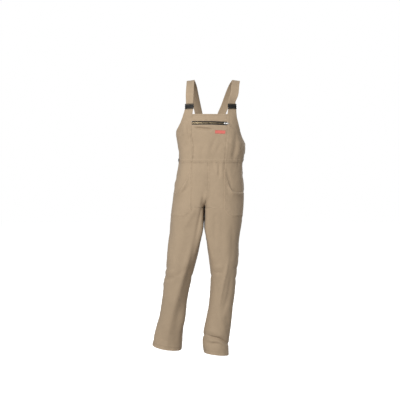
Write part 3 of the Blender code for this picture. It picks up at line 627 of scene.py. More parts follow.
RIGHT_LEG_FOLDS = (
    *folds(
        Facing.FRONT,
        (19, -4.8, -63, -690, -73, -750, -93, -850, -111, -950, -134, -1060, -160, -1174, -187, -1271,
         -206, -1390, -212, -1520),
        (8.5, -5, -56.5, -585, -60, -650, -69, -713, -85, -787, -99, -870),
        (15, 3.6, -91, -672, -115, -714, -141, -757, -160, -804),
        (17, 7.2, -96, -779, -120, -886, -143, -982, -174, -1083, -204, -1185, -230, -1292, -249, -1405,
         -256, -1520),
        (17, 3.2, -147, -1203, -166, -1294, -178, -1390, -182, -1520),
        (10, -3.6, -262, -1082, -236, -1062, -204, -1055), (11, 2, -258, -1038, -233, -1028, -198, -1020),
        (16, 1.4, -195, -806, -197, -906, -206, -1011), (10, -1.6, -138, -990, -169, -1026, -205, -1050),
        (8, -1.6, -290, -1380, -270, -1398, -240, -1408),
    ),
    *folds(
        Facing.RIGHT,
        (11, -3, -70, -980, -20, -1010, 50, -1018), (10, -3.4, -50, -1062, 0, -1052, 70, -1072),
        (12, 2.4, -30, -1110, 30, -1098, 80, -1112), (18, -3.6, 20, -1180, 30, -1290, 45, -1390, 50, -1500),
        (8, -3, 110, -1380, 60, -1404, 10, -1400), (17, -2.4, -10, -780, 15, -860, 5, -950),
    ),
    *folds(
        Facing.LEFT,
        (16, -3.4, -50, -820, -30, -930, -10, -1040), (10, -3.2, -40, -1070, 10, -1058, 60, -1075),
        (16, -3, 30, -1160, 40, -1280, 55, -1380),
    ),
    *folds(
        Facing.BACK,
        (10, -4.6, -240, -1020, -190, -1046, -140, -1034), (10, -5, -250, -1062, -200, -1082, -145, -1074),
        (11, -3.8, -245, -1108, -210, -1122, -160, -1112), (10, 2.6, -235, -1041, -195, -1064, -150, -1054),
        (18, -3.4, -150, -800, -175, -880, -180, -970), (18, 2.4, -215, -770, -210, -850, -205, -930),
        (18, -4, -200, -1160, -225, -1250, -245, -1340, -255, -1420),
        (8, -5.2, -300, -1352, -255, -1378, -200, -1366), (8, -4.2, -295, -1396, -240, -1412, -190, -1398),
        (12, 3, -290, -1330, -250, -1350, -205, -1342),
    ),
)
LEFT_LEG_FOLDS = (
    *folds(
        Facing.FRONT,
        (10, 6, 82, -925, 67, -1019, 51, -1089, 38, -1158, 25, -1245),
        (14, -5, 98, -1000, 85, -1117, 69, -1181, 42, -1262), (8, -3.4, -10, -1038, 23, -1026, 61, -1033),
        (9, 2, -15, -1008, 18, -998, 56, -996), (10, -2, 0, -1040, 13, -1089, 21, -1147),
        (10, 2.8, 26, -1240, 47, -1305, 69, -1365), (9, -2.6, 64, -1246, 84, -1348),
        (5.5, -8.5, -52, -1358, -8, -1372, 26, -1379, 55, -1396, 82, -1422),
        (13, 3.6, -50, -1338, 8, -1350, 66, -1374), (10, 6.2, -46, -1390, 0, -1395, 36, -1405, 70, -1434),
        (6.5, -4.2, -22, -1409, 12, -1404, 42, -1414, 62, -1440), (15, 2.4, 25, -661, 27, -756, 31, -851),
        (12, -2.2, 7, -694, 7, -799, 3, -915), (10, -2.8, -31, -790, -17, -869, 2, -953),
        (12, -2.6, 97, -758, 101, -874, 92, -991), (15, 2, 63, -768, 66, -873, 65, -958),
    ),
    *folds(
        Facing.LEFT,
        (11, -3.2, -80, -1000, -30, -1012, 50, -1000), (10, -3.4, -60, -1056, 0, -1070, 60, -1052),
        (16, -3.4, -30, -1150, -20, -1260, -40, -1350), (8, -4, -80, -1398, -30, -1420, 40, -1412),
        (17, -2.6, 10, -760, -5, -850, 10, -940),
    ),
    *folds(
        Facing.RIGHT,
        (14, -2.6, -60, -840, -45, -930, -35, -1020), (10, -3.4, -70, -1040, -10, -1052, 50, -1040),
        (8, -5, -70, -1352, -20, -1372, 50, -1388),
    ),
    *folds(
        Facing.BACK,
        (10, -4.6, 0, -1012, 45, -1030, 100, -1018), (10, -5, -5, -1055, 40, -1076, 95, -1062),
        (11, -3.6, 0, -1102, 45, -1112, 85, -1100), (10, 2.6, 2, -1033, 45, -1052, 92, -1040),
        (18, -3.4, 80, -800, 60, -880, 55, -960), (18, 2.2, 20, -790, 15, -870, 20, -950),
        (17, -3.6, 50, -1150, 35, -1240, 20, -1330, 15, -1400), (8, -5.6, -40, -1378, 10, -1402, 65, -1388),
        (8, -4.4, -35, -1424, 20, -1440, 70, -1426), (12, 3.2, -35, -1356, 15, -1376, 60, -1366),
    ),
)


@dataclass(frozen=True)
class Drape:
    """Everything that moves the cloth off its plain form, the same for each panel that meets at a seam."""

    body: tuple[Fold, ...] = BODY_FOLDS
    legs: dict[int, tuple[Fold, ...]] = field(
        default_factory=lambda: {-1: RIGHT_LEG_FOLDS, 0: (), 1: LEFT_LEG_FOLDS})
    broad: Crumple = Crumple(11, 0.07, 0.19, upright=2.2)
    fine: Crumple = Crumple(23, 0.022, 0.055, upright=1.4, creased=True, waves=30)
    waist: Gathers = Gathers(5, WAIST_Z - 0.004, (-0.0155, 0.0), 46, 0.0011, 0.045)
    broad_rise: float = 0.0012
    fine_rise: float = 0.00012

    def height(self, points: Array, normals: Array, leg: int) -> Array:
        """How far the worn cloth stands off its form at each point.

        Args:
            points: Points of the form.
            normals: Its outward normals.
            leg: -1 for the wearer's right trouser panels, 1 for the left ones, 0 above the waist.

        Returns:
            Heights along the normals.
        """
        total = self.broad_rise * self.broad.height(points) + self.fine_rise * self.fine.height(points)
        total += self.waist.height(points)
        for fold in self.body + self.legs[leg]:
            total += fold.height(points, normals)
        return total


DRAPE = Drape()


# ---- edges and seams
class EdgeKind(Enum):
    """How an edge is made: lapped over its neighbour, tucked under it, turned in, or left plain."""

    OVER = "over"
    UNDER = "under"
    TURNED = "turned"
    PLAIN = "plain"


@dataclass(frozen=True)
class Edge:
    """Sewing along one edge of a panel: its kind, the width of its doubled strip, and its rows of stitches.

    Distances are measured from the edge, or from the seam line where the cloth is tucked under.
    """

    kind: EdgeKind
    band: float = 0.0095
    rows: tuple[float, ...] = (0.002, 0.008)

    def places(self) -> Array:
        """Distances at which grid lines lie, so that the edge's shape has enough of them.

        Returns:
            The distances, from the edge inward.
        """
        if self.kind is EdgeKind.UNDER:
            return np.array([-UNDERLAP, -0.004, -0.0014, -0.0003, 0.0007, 0.0018, 0.0032, 0.0052, 0.008])
        if self.kind is EdgeKind.PLAIN:
            return np.array([0.0, 0.0025])
        beside = [row + step for row in self.rows for step in (-0.0006, 0.0, 0.0006)]
        past = [self.band + step for step in (-0.0003, 0.0009, 0.0022, 0.0045)]
        kept = [0.0]
        for spot in sorted([0.0005, 0.0011] + beside + past):
            if spot - kept[-1] > 0.00035:
                kept.append(spot)
        return np.array(kept)

    def lift(self, d: Array) -> Array:
        """Height of the outer face: a lap stands up, a tuck lies down, and stitches are dents.

        Args:
            d: Distances from the edge.

        Returns:
            Height at each.
        """
        if self.kind is EdgeKind.UNDER:
            return -TUCK * (1.0 - ease(-0.0005, 0.005, d)) - 0.0003 * bump(d - 0.0004, 0.0012)
        rise = LAP if self.kind is EdgeKind.OVER else TURNING * 0.4
        return rise * self.doubled(d) - STITCH_DENT * self.dents(d)

    def doubled(self, d: Array) -> Array:
        """1 on the doubled strip and 0 past it."""
        return 1.0 - ease(self.band - 0.0004, self.band + 0.0024, d)

    def dents(self, d: Array) -> Array:
        """A narrow hump at each row of stitches."""
        return sum(bump(d - row, 0.0007) for row in self.rows)

    def extra(self, d: Array) -> Array:
        """Extra thickness of the doubled strip, where it is turned in."""
        return TURNING * self.doubled(d) * (self.kind is EdgeKind.TURNED)

    def pucker(self, d: Array) -> Array:
        """How strongly the sewing puckers the cloth, fading over the next centimetre or so."""
        return np.exp(-np.maximum(d, 0.0) / 0.013)

    def wear_and_shade(self, d: Array) -> Array:
        """Above 0 on ridges, which are rubbed pale, and below 0 in grooves and stitch dents, which get
        painted shade.

        Args:
            d: Distances from the edge.

        Returns:
            Wear at each, with painted shade where it is below 0.
        """
        # below 0 is painted shade: the tucked seam's groove and the stitch dents are darkened in colour
        if self.kind is EdgeKind.UNDER:
            return -0.6 * bump(d - 0.0003, 0.0024)
        return 0.9 * bump(d - 0.0004, 0.0011) + 0.35 * bump(d - self.band, 0.0016) - 0.35 * self.dents(d)


OVER = Edge(EdgeKind.OVER)
UNDER = Edge(EdgeKind.UNDER)
PLAIN = Edge(EdgeKind.PLAIN)
WAIST_OVER = Edge(EdgeKind.OVER, 0.015, (0.0022, 0.0138))
BOUND = Edge(EdgeKind.TURNED, 0.009, (0.002, 0.0075))
TOP_HEM = Edge(EdgeKind.TURNED, 0.0125, (0.0022, 0.011))
LEG_HEM = Edge(EdgeKind.TURNED, 0.025, (0.0235,))


def stations(length: Array | float, start: Edge | Array, end: Edge | Array, step: float) -> Array:
    """Distances of the grid lines between two edges: close together at both, and even in between.

    Args:
        length: Length of each row, or of the only one.
        start: Edge at distance 0, or distances for each row.
        end: Edge at the far end, or distances for each row.
        step: Widest space between two lines.

    Returns:
        Distances from the start, one row for each length.
    """
    length = np.atleast_1d(length)[:, None]
    near, far = (edge.places()[None] if isinstance(edge, Edge) else edge for edge in (start, end))
    room = length - near[:, -1:] - far[:, -1:]
    count = max(2, math.ceil(room.max() / step))
    middle = near[:, -1:] + room * (np.arange(1, count) / count)
    return np.concatenate([near + np.zeros_like(length), middle, length - far[:, ::-1]], axis=1)


def lay_across(form: Form, z: Array, first: Array, last: Array, start: Edge | Array, end: Edge | Array,
               step: float) -> tuple[Array, Array, Array]:
    """Grid lines across a form, spaced by true distance along each row.

    Each row is sampled evenly, its length is added up, and the wanted distances are read back.

    Args:
        form: Form of share and height.
        z: Height of each row.
        first: Share of each row's first edge.
        last: Share of its last edge.
        start: Edge at the first share.
        end: Edge at the last one.
        step: Widest space between two lines.

    Returns:
        The points, and each point's distance from the two edges.
    """
    spread = np.linspace(-0.15, 1.15, 131)  # 0 is at index 15 and 1 at index 115
    share = first[:, None] + spread * (last - first)[:, None]
    arc = travel(form(share, z[:, None]), 1)
    arc = arc - arc[:, 15:16]
    length = arc[:, 115]
    from_start = stations(length, start, end, step)
    at = np.stack([np.interp(wanted, gone, spread) for wanted, gone in zip(from_start, arc)])
    share = first[:, None] + at * (last - first)[:, None]
    return form(share, z[:, None]), from_start, length[:, None] - from_start


# ---- meshes
def put(name: str, data: bpy.types.ID, at: Sequence[float] = (0.0, 0.0, 0.0),
        turn: Sequence[float] = (0.0, 0.0, 0.0)) -> Piece:
    """Put an object that holds a mesh, a light or a camera into the scene.

    Args:
        name: Name of the object.
        data: What it holds.
        at: Its place.
        turn: Its turn about each axis.

    Returns:
        The object.
    """
    piece = bpy.data.objects.new(name, data)
    piece.location, piece.rotation_euler = at, turn
    bpy.context.scene.collection.objects.link(piece)
    return piece


@dataclass
class Surface:
    """Vertices, faces and what is painted on them, gathered until they become one object."""

    verts: list[Array] = field(default_factory=list)
    faces: list[Array] = field(default_factory=list)
    uvs: list[Array] = field(default_factory=list)
    wear_and_shade: list[Array] = field(default_factory=list)
    count: int = 0

    def add(self, verts: Array, *faces: Array, uv: Array | None = None, wear_and_shade: Array | float = 0.0) -> None:
        """Add vertices and the faces between them, which are numbered from this part's own first vertex.

        Args:
            verts: One row for each vertex.
            faces: One row for each face, all of an array with one number of corners.
            uv: Place of each vertex on the flat cloth.
            wear_and_shade: Wear of each vertex, with painted shade where it is below 0.
        """
        verts = verts.reshape(-1, 3)
        self.verts.append(verts)
        self.faces += [part.reshape(-1, part.shape[-1]) + self.count for part in faces]
        self.uvs.append(np.zeros((len(verts), 2)) if uv is None else uv)
        self.wear_and_shade.append(np.zeros(len(verts)) + wear_and_shade)
        self.count += len(verts)

    def finish(self, name: str, flat_shaded: bool = False) -> Piece:
        """Make the object, in place at the origin, with its UV map and its wear and painted shade.

        Args:
            name: Name of the object and its mesh.
            flat_shaded: Whether its faces are shaded flat.

        Returns:
            The new object.
        """
        corners = np.concatenate([part.ravel() for part in self.faces])
        mesh = bpy.data.meshes.new(name)
        faces = [face for part in self.faces for face in part.tolist()]
        mesh.from_pydata(np.concatenate(self.verts), [], faces)
        uv = mesh.uv_layers.new(name="cloth")
        uv.data.foreach_set("uv", np.concatenate(self.uvs)[corners].astype(np.float32).ravel())
        wear_and_shade = mesh.attributes.new("wear_and_shade", "FLOAT", "POINT")
        wear_and_shade.data.foreach_set("value", np.concatenate(self.wear_and_shade).astype(np.float32))
        mesh.polygons.foreach_set("use_smooth", np.full(len(mesh.polygons), not flat_shaded))
        mesh.validate()
        return put(name, mesh)


def quads(rows: int, columns: int, flip: bool = False, wrap_rows: bool = False,
          wrap_columns: bool = False) -> Array:
    """Corners of the faces of a grid of vertices.

    Args:
        rows: Rows of vertices.
        columns: Columns of vertices.
        flip: Whether the faces are turned over.
        wrap_rows: Whether the last row joins the first.
        wrap_columns: Whether the last column joins the first.

    Returns:
        One row of four vertex numbers for each face.
    """
    row = np.arange(rows if wrap_rows else rows - 1)[:, None]
    column = np.arange(columns if wrap_columns else columns - 1)[None, :]
    row_up, column_on = (row + 1) % rows, (column + 1) % columns
    corners = [row * columns + column, row * columns + column_on, row_up * columns + column_on,
               row_up * columns + column]
    faces = np.stack([np.broadcast_to(c, (row.size, column.size)) for c in corners], axis=-1).reshape(-1, 4)
    return faces[:, ::-1] if flip else faces


def add_shell(surface: Surface, outer: Array, inner: Array, hand: int, uv: Array, wear_and_shade: Array) -> None:
    """Closed shell between two grids, its rim a half round from one to the other.

    The rim's three lines lie at each eighth of a turn round the middle of the wall.

    Args:
        surface: Where the shell is added.
        outer: Grid of the outer face.
        inner: Grid of the inner face.
        hand: Hand of the grids, as for their normals.
        uv: Place of each point on the flat cloth.
        wear_and_shade: Wear of each point, with painted shade where it is below 0.
    """
    rows, columns = outer.shape[:2]
    size = rows * columns
    number = np.arange(size).reshape(rows, columns)
    loop = np.concatenate([number[0], number[1:, -1], number[-1, -2::-1], number[-2:0:-1, 0]])
    away = np.zeros_like(outer)
    away[0] += unit(outer[0] - outer[1])
    away[-1] += unit(outer[-1] - outer[-2])
    away[:, 0] += unit(outer[:, 0] - outer[:, 1])
    away[:, -1] += unit(outer[:, -1] - outer[:, -2])
    top, low = outer.reshape(-1, 3)[loop], inner.reshape(-1, 3)[loop]
    outward = unit(away.reshape(-1, 3)[loop])
    middle, half = (top + low) / 2.0, (top - low) / 2.0
    thick = np.linalg.norm(half, axis=-1, keepdims=True)
    turns = np.array([0.25, 0.5, 0.75])[:, None, None] * math.pi
    rim = middle + half * np.cos(turns) + outward * thick * np.sin(turns)
    verts = np.concatenate([outer.reshape(-1, 3), inner.reshape(-1, 3), rim.reshape(-1, 3)])
    lines = np.concatenate([loop, 2 * size + np.arange(3 * len(loop)), loop + size])
    strip = quads(5, len(loop), wrap_columns=True, flip=hand > 0)
    uv, wear_and_shade = uv.reshape(-1, 2), wear_and_shade.ravel()
    surface.add(verts, quads(rows, columns, flip=hand < 0), quads(rows, columns, flip=hand > 0) + size,
                lines[strip], uv=np.concatenate([uv, uv, np.tile(uv[loop], (3, 1))]),
                wear_and_shade=np.concatenate([wear_and_shade, 0.0 * wear_and_shade, np.tile(wear_and_shade[loop], 3)]))


# ---- stitches
class Row(NamedTuple):
    """A line along which stitches run: its points on the cloth and the cloth's normals there."""

    points: Array
    normals: Array


@dataclass
class Stitching:
    """Rows of lockstitch, gathered and made as one object of short thread pieces sunk at both ends."""

    name: str
    seed: int
    rows: list[Row] = field(default_factory=list)
    pitch: float = 0.0036
    share: float = 0.76  # share of the pitch that shows
    radius: float = 0.00034

    def build(self) -> Piece:
        """Make the stitches: four rings of four corners each, lifted in the middle and sunk at the ends.

        Returns:
            The piece.
        """
        random = np.random.default_rng(self.seed)
        surface = Surface()
        for row in self.rows:
            path = travel(row.points, 0)
            count = int(path[-1] / self.pitch)
            if count < 1:
                continue
            middle = (np.arange(count) + 0.5) * path[-1] / count
            half = self.pitch * self.share / 2.0 * random.uniform(0.93, 1.07, count)
            at = middle[:, None] + half[:, None] * np.array([-1.0, -0.6, 0.6, 1.0])
            place, out = (np.stack([np.interp(at, path, data[:, i]) for i in range(3)], axis=-1)
                          for data in (row.points, row.normals))
            out = unit(out)
            ahead = unit(place[:, 3:] - place[:, :1])
            across = unit(np.cross(ahead, out))
            sway = random.normal(0.0, 0.00008, (count, 1, 1))
            place = place + across * sway + out * np.array([-0.00022, 0.00013, 0.00013, -0.00022])[:, None]
            thick = self.radius * np.array([0.55, 1.0, 1.0, 0.55])[:, None, None]
            turn = np.arange(4) * math.pi / 2.0
            round_it = across[:, :, None] * np.cos(turn)[:, None] + out[:, :, None] * np.sin(turn)[:, None]
            verts = (place[:, :, None] + round_it * thick).reshape(-1, 3)
            one = [*quads(4, 4, flip=True, wrap_columns=True), [0, 1, 2, 3], [15, 14, 13, 12]]
            surface.add(verts, np.array(one) + np.arange(count)[:, None, None] * 16)
        return surface.finish(self.name)


# ---- panels
class Border(Enum):
    """Borders of a grid, each as the axis that it lies across and the way inward along that axis."""

    START = (1, 1)
    END = (1, -1)
    LOW = (0, 1)
    HIGH = (0, -1)


class Sewn(NamedTuple):
    """An edge of a panel: which border it is on, how it is made, each point's distance, and its first row."""

    border: Border
    edge: Edge
    distance: Array
    first: int = 0


def sewn_round(edges: Sequence[Edge], distances: Sequence[Array]) -> tuple[Sewn, ...]:
    """Edges of a panel with one on each border, in the order of the borders."""
    return tuple(Sewn(*part) for part in zip(Border, edges, distances))


@dataclass
class Panel:
    """One cut piece of cloth, draped and sewn.

    The outer face is the form, moved along its normals by the drape, and then by the sewing of its edges.
    """

    name: str
    base: Array
    hand: int
    edges: tuple[Sewn, ...]
    leg: int = 0
    thick: float = CLOTH
    lift: Array | float = 0.0
    draped: bool = True
    outer: Array = field(init=False)
    inner: Array = field(init=False)
    normals: Array = field(init=False)
    wear_and_shade: Array = field(init=False)

    def __post_init__(self) -> None:
        """Work out the two faces of the panel."""
        form_normals = grid_normals(self.base, self.hand)
        draped = self.base
        if self.draped:
            height = DRAPE.height(self.base, form_normals, self.leg)
            draped = self.base + form_normals * height[..., None]
        self.normals = grid_normals(draped, self.hand)
        lift = np.zeros(self.base.shape[:-1]) + self.lift
        extra, pucker, self.wear_and_shade = np.zeros((3, *lift.shape))
        self.edges = tuple(sewn._replace(distance=np.broadcast_to(sewn.distance, lift.shape))
                           for sewn in self.edges)
        for _, edge, away, _ in (sewn for sewn in self.edges if sewn.edge.kind is not EdgeKind.PLAIN):
            lift += edge.lift(away)
            extra = np.maximum(extra, edge.extra(away))
            pucker = np.maximum(pucker, edge.pucker(away))
            # each edge paints its ridges paler as rubbed wear and its grooves and stitch dents darker as
            # painted shade
            self.wear_and_shade += edge.wear_and_shade(away)
        ripple = Crumple(31, 0.014, 0.03).height(self.base)
        lift += 0.0003 * pucker * ripple
        # raised puckers are painted paler as rubbed wear and sunk ones darker as painted shade
        self.wear_and_shade = np.clip(self.wear_and_shade + 0.15 * pucker * ripple, -1.0, 1.0)
        self.outer = draped + self.normals * lift[..., None]
        self.inner = draped + self.normals * (lift - self.thick - extra)[..., None]

    def flat(self) -> Array:
        """Place of each point on the flat cloth: distance from the middle column, and from the lowest row.

        Returns:
            A pair for each point.
        """
        across = travel(self.base, 1)
        across = across - across[:, across.shape[1] // 2][:, None]
        return np.stack([across, travel(self.base, 0)], axis=-1)

    def build(self) -> Piece:
        """Make the panel an object of its own.

        Returns:
            The piece.
        """
        surface = Surface()
        add_shell(surface, self.outer, self.inner, self.hand, self.flat(), self.wear_and_shade)
        return surface.finish(self.name)

    def rows_of(self, sewn: Sewn) -> list[Row]:
        """Lines of the stitch rows along one edge, each found where its distance is crossed, going inward.

        Args:
            sewn: The edge and its distances.

        Returns:
            The rows.
        """
        axis, way = sewn.border.value
        away, outer, normals = (np.moveaxis(grid, axis, 0)[::way, sewn.first:]
                                for grid in (sewn.distance, self.outer, self.normals))
        every = np.arange(away.shape[1])
        found = []
        for spot in sewn.edge.rows:
            step = np.clip((away >= spot).argmax(axis=0), 1, len(away) - 1)
            low, high = away[step - 1, every], away[step, every]
            part = np.clip((spot - low) / np.maximum(high - low, 1e-9), 0.0, 1.0)[:, None]
            line, out = (grid[step - 1, every] * (1.0 - part) + grid[step, every] * part
                         for grid in (outer, normals))
            found.append(Row(line, unit(out)))
        return found

    def stitches(self) -> list[Row]:
        """Every row of stitches on the panel."""
        return [row for sewn in self.edges if sewn.edge.kind in (EdgeKind.OVER, EdgeKind.TURNED)
                for row in self.rows_of(sewn)]
# ---- shader maths
class Value:
    """A number in a material.  Python operators on it add the Math nodes that work the answer out."""

    def __init__(self, nodes: Nodes, socket: Socket) -> None:
        """Wrap an output socket of one of a material's nodes."""
        self.nodes = nodes
        self.socket = socket

    def maths(self, operation: str, *others: Value | float) -> Value:
        """Add one Math node, whose first input is this, and return its answer."""
        return self.nodes.value("ShaderNodeMath", {"operation": operation}, dict(enumerate((self, *others))))

    def __add__(self, other: Value | float) -> Value:
        """Sum of this and another."""
        return self.maths("ADD", other)

    def __sub__(self, other: Value | float) -> Value:
        """This less another."""
        return self.maths("SUBTRACT", other)

    def __mul__(self, other: Value | float) -> Value:
        """This times another."""
        return self.maths("MULTIPLY", other)

    def wave(self, length: float) -> Value:
        """Sine wave of this, with this length."""
        return (self * (2.0 * math.pi / length)).maths("SINE")

    def share(self) -> Value:
        """This held between 0 and 1."""
        return self.maths("MINIMUM", 1.0).maths("MAXIMUM", 0.0)


class Nodes:
    """The nodes of one material or of the world, and the few ways in which they are added."""

    def __init__(self, holder: Material | bpy.types.World) -> None:
        """Start from the nodes that a new material or world has.

        Args:
            holder: What the nodes belong to.
        """
        holder.use_nodes = True
        self.holder = holder
        self.tree = holder.node_tree

    def add(self, kind: str, settings: dict[str, Any], inputs: dict[str | int, Any]) -> bpy.types.Node:
        """Add a node of any type.

        Args:
            kind: Blender's name of the node type.
            settings: Its properties, which are set first.
            inputs: Value or link of each input, by name or number.

        Returns:
            The new node.
        """
        node = self.tree.nodes.new(kind)
        for key, value in settings.items():
            setattr(node, key, value)
        self.join(node, inputs)
        return node

    def join(self, node: bpy.types.Node, inputs: dict[str | int, Any]) -> None:
        """Give a node's inputs their values or their links.

        Args:
            node: The node.
            inputs: Values or sockets by input.
        """
        for key, value in inputs.items():
            value = value.socket if isinstance(value, Value) else value
            if isinstance(value, Socket):
                self.tree.links.new(value, node.inputs[key])
            else:
                node.inputs[key].default_value = value

    def value(self, kind: str, settings: dict[str, Any], inputs: dict[str | int, Any],
              output: str | int = 0) -> Value:
        """Add a node and return one of its outputs as a number."""
        return Value(self, self.add(kind, settings, inputs).outputs[output])

    def flat_cloth(self) -> tuple[Value, Value]:
        """Places across and up the flat cloth, from the piece's own UV map, in metres.

        Returns:
            The two places.
        """
        uv = self.add("ShaderNodeUVMap", {"uv_map": "cloth"}, {})
        parts = self.add("ShaderNodeSeparateXYZ", {}, {0: uv.outputs[0]})
        return Value(self, parts.outputs[0]), Value(self, parts.outputs[1])

    def painted(self, name: str) -> Value:
        """A number painted on the mesh."""
        return self.value("ShaderNodeAttribute", {"attribute_name": name}, {}, "Fac")

    def place(self) -> Socket:
        """Place in the piece's own space."""
        return self.add("ShaderNodeTexCoord", {}, {}).outputs["Object"]

    def noise(self, vector: Socket, scale: float, detail: float) -> Value:
        """Smooth noise, centred on 0 and about 1 from end to end."""
        inputs = {"Vector": vector, "Scale": scale, "Detail": detail}
        return self.value("ShaderNodeTexNoise", {}, inputs) - 0.5

    def threads(self, x: Value, y: Value) -> Value:
        """Noise that is drawn out to threads by two numbers of very different scales."""
        return self.noise(self.add("ShaderNodeCombineXYZ", {}, {0: x, 1: y}).outputs[0], 1.0, 1.0)

    def blend(self, factor: Value, low: Any, high: Any) -> Socket:
        """Colour between two others."""
        low, high = ((*part, 1.0) if isinstance(part, tuple) else part for part in (low, high))
        return self.add("ShaderNodeMix", {"data_type": "RGBA"}, {0: factor, 6: low, 7: high}).outputs[2]

    def tones(self, level: Value, colour: Colour, low: float, high: float) -> Socket:
        """One colour between two of its tones, where a level of 0 is halfway."""
        return self.blend((level + 0.5).share(), shade(colour, low), shade(colour, high))

    def finish(self, colour: Socket, roughness: Value, height: Value, depth: float,
               others: dict[str, float]) -> Material:
        """Set the shader's inputs and return the material.

        Args:
            colour: Base colour.
            roughness: Roughness before it is held between 0 and 1.
            height: Relief of the surface.
            depth: Depth in metres of a relief of 1.
            others: The other inputs that are set.

        Returns:
            The material.
        """
        relief = self.add("ShaderNodeBump", {}, {"Height": height, "Distance": depth}).outputs[0]
        inputs = {"Base Color": colour, "Roughness": roughness.share(), "Normal": relief}
        self.join(self.tree.nodes["Principled BSDF"], inputs | others)
        return self.holder

    def by_ray(self, light: Socket, seen: Socket, output: str) -> None:
        """Give an output node one shader for light and another for the camera.

        Args:
            light: Shader for light.
            seen: Shader for the camera.
            output: Name of the output node.
        """
        path = self.add("ShaderNodeLightPath", {}, {})
        mix = self.add("ShaderNodeMixShader", {}, {0: path.outputs["Is Camera Ray"], 1: light, 2: seen})
        self.join(self.tree.nodes[output], {"Surface": mix.outputs[0]})


def material_nodes(name: str) -> Nodes:
    """Nodes of a new material."""
    return Nodes(bpy.data.materials.new(name))


def shade(colour: Colour, factor: float) -> Colour:
    """A colour made lighter or darker."""
    return tuple(min(1.0, part * factor) for part in colour)


# ---- finishes
@dataclass(frozen=True)
class WorkCloth:
    """Firm twill in one colour: threads both ways, slanting ribs, and seams whose ridges are rubbed pale and
    whose grooves are darkened with painted shade.
    """

    name: str
    colour: Colour
    rib: float = 0.0011
    thread: float = 0.0012
    run: float = 0.015
    contrast: float = 0.2
    roughness: float = 0.86
    relief: float = 0.00016
    sheen: float = 0.12

    def material(self) -> Material:
        """Build the material.

        Returns:
            The material.
        """
        nodes = material_nodes(self.name)
        across, up = nodes.flat_cloth()
        place = nodes.place()
        warp = nodes.threads(across * (1.0 / self.thread), up * (1.0 / self.run))
        weft = nodes.threads(across * (1.0 / self.run), up * (1.0 / self.thread))
        slant = (across + up).wave(self.rib)
        cloud = nodes.noise(place, 9.0, 2.0)
        patch = nodes.noise(place, 38.0, 3.0)
        tone = warp * 0.4 + weft * 0.4 + slant * 0.05 + cloud * 0.35 + patch * 0.18
        colour = nodes.tones(tone, self.colour, 1.0 - self.contrast, 1.0 + self.contrast)
        wear_and_shade = nodes.painted("wear_and_shade")
        rubbed = (wear_and_shade * (patch * 0.5 + 0.42)).share()
        # painted shade: where the value is below 0, in seam grooves and stitch dents, the cloth is darkened
        # towards a deep tone of itself
        groove_shade = (wear_and_shade * -0.5).share()
        colour = nodes.blend(rubbed, colour, shade(self.colour, 1.45))
        colour = nodes.blend(groove_shade, colour, shade(self.colour, 0.45))
        return nodes.finish(colour, warp * 0.08 + self.roughness - rubbed * 0.1,
                            slant * 0.3 + warp * 0.9 + weft * 0.9, self.relief,
                            {"Sheen Weight": self.sheen, "Sheen Roughness": 0.45, "Specular IOR Level": 0.25})


@dataclass(frozen=True)
class MouldedPlastic:
    """Moulded plastic with a fine spark-eroded grain and slow clouds, rubbed paler on its corners.

    The grain and the clouds are each given as scale, detail, share of the tone and share of the roughness.
    """

    name: str
    colour: Colour
    roughness: float
    grain: Noise = (2200.0, 2.0, 0.3, 0.1)
    cloud: Noise = (160.0, 2.0, 0.8, 0.14)
    tones: tuple[float, float] = (0.8, 1.3)
    rubbed: float = 2.6
    relief: float = 0.00006
    others: tuple[tuple[str, float], ...] = (("Specular IOR Level", 0.5),)

    def material(self) -> Material:
        """Build the material.

        Returns:
            The material.
        """
        nodes = material_nodes(self.name)
        place = nodes.place()
        grain, cloud = (nodes.noise(place, *part[:2]) for part in (self.grain, self.cloud))
        colour = nodes.tones(cloud * self.cloud[2] + grain * self.grain[2], self.colour, *self.tones)
        if self.rubbed:
            worn = (nodes.painted("wear_and_shade") * (cloud + 0.6)).share()
            colour = nodes.blend(worn, colour, shade(self.colour, self.rubbed))
        roughness = cloud * self.cloud[3] + grain * self.grain[3] + self.roughness
        return nodes.finish(colour, roughness, grain, self.relief, dict(self.others))


@dataclass(frozen=True)
class PlatedMetal(MouldedPlastic):
    """Plated metal, finely scratched."""

    grain: Noise = (1500.0, 3.0, 0.3, 0.16)
    cloud: Noise = (240.0, 2.0, 0.9, 0.12)
    tones: tuple[float, float] = (0.72, 1.15)
    rubbed: float = 0.0
    relief: float = 0.00003
    others: tuple[tuple[str, float], ...] = (("Metallic", 1.0),)


@dataclass(frozen=True)
class Thread(MouldedPlastic):
    """Spun sewing thread, its grain the twist."""

    grain: Noise = (2600.0, 1.0, 0.7, 0.12)
    cloud: Noise = (120.0, 2.0, 0.5, 0.0)
    tones: tuple[float, float] = (0.72, 1.22)
    rubbed: float = 0.0
    relief: float = 0.00012
    others: tuple[tuple[str, float], ...] = (("Sheen Weight", 0.1),)


@dataclass(frozen=True)
class ZipTapeCloth:
    """Close ribbed tape, its ribs running across it."""

    name: str
    colour: Colour
    rib: float = 0.0009
    twill: float = 0.0021

    def material(self) -> Material:
        """Build the material.

        Returns:
            The material.
        """
        nodes = material_nodes(self.name)
        across, up = nodes.flat_cloth()
        ribs, slant = across.wave(self.rib), (across + up * 0.6).wave(self.twill)
        fuzz = nodes.noise(nodes.place(), 700.0, 2.0)
        colour = nodes.tones(ribs * 0.22 + slant * 0.1 + fuzz * 0.7, self.colour, 0.7, 1.35)
        return nodes.finish(colour, fuzz * 0.1 + 0.84, ribs * 0.5 + slant * 0.3 + fuzz, 0.00012,
                            {"Sheen Weight": 0.15, "Sheen Roughness": 0.5})


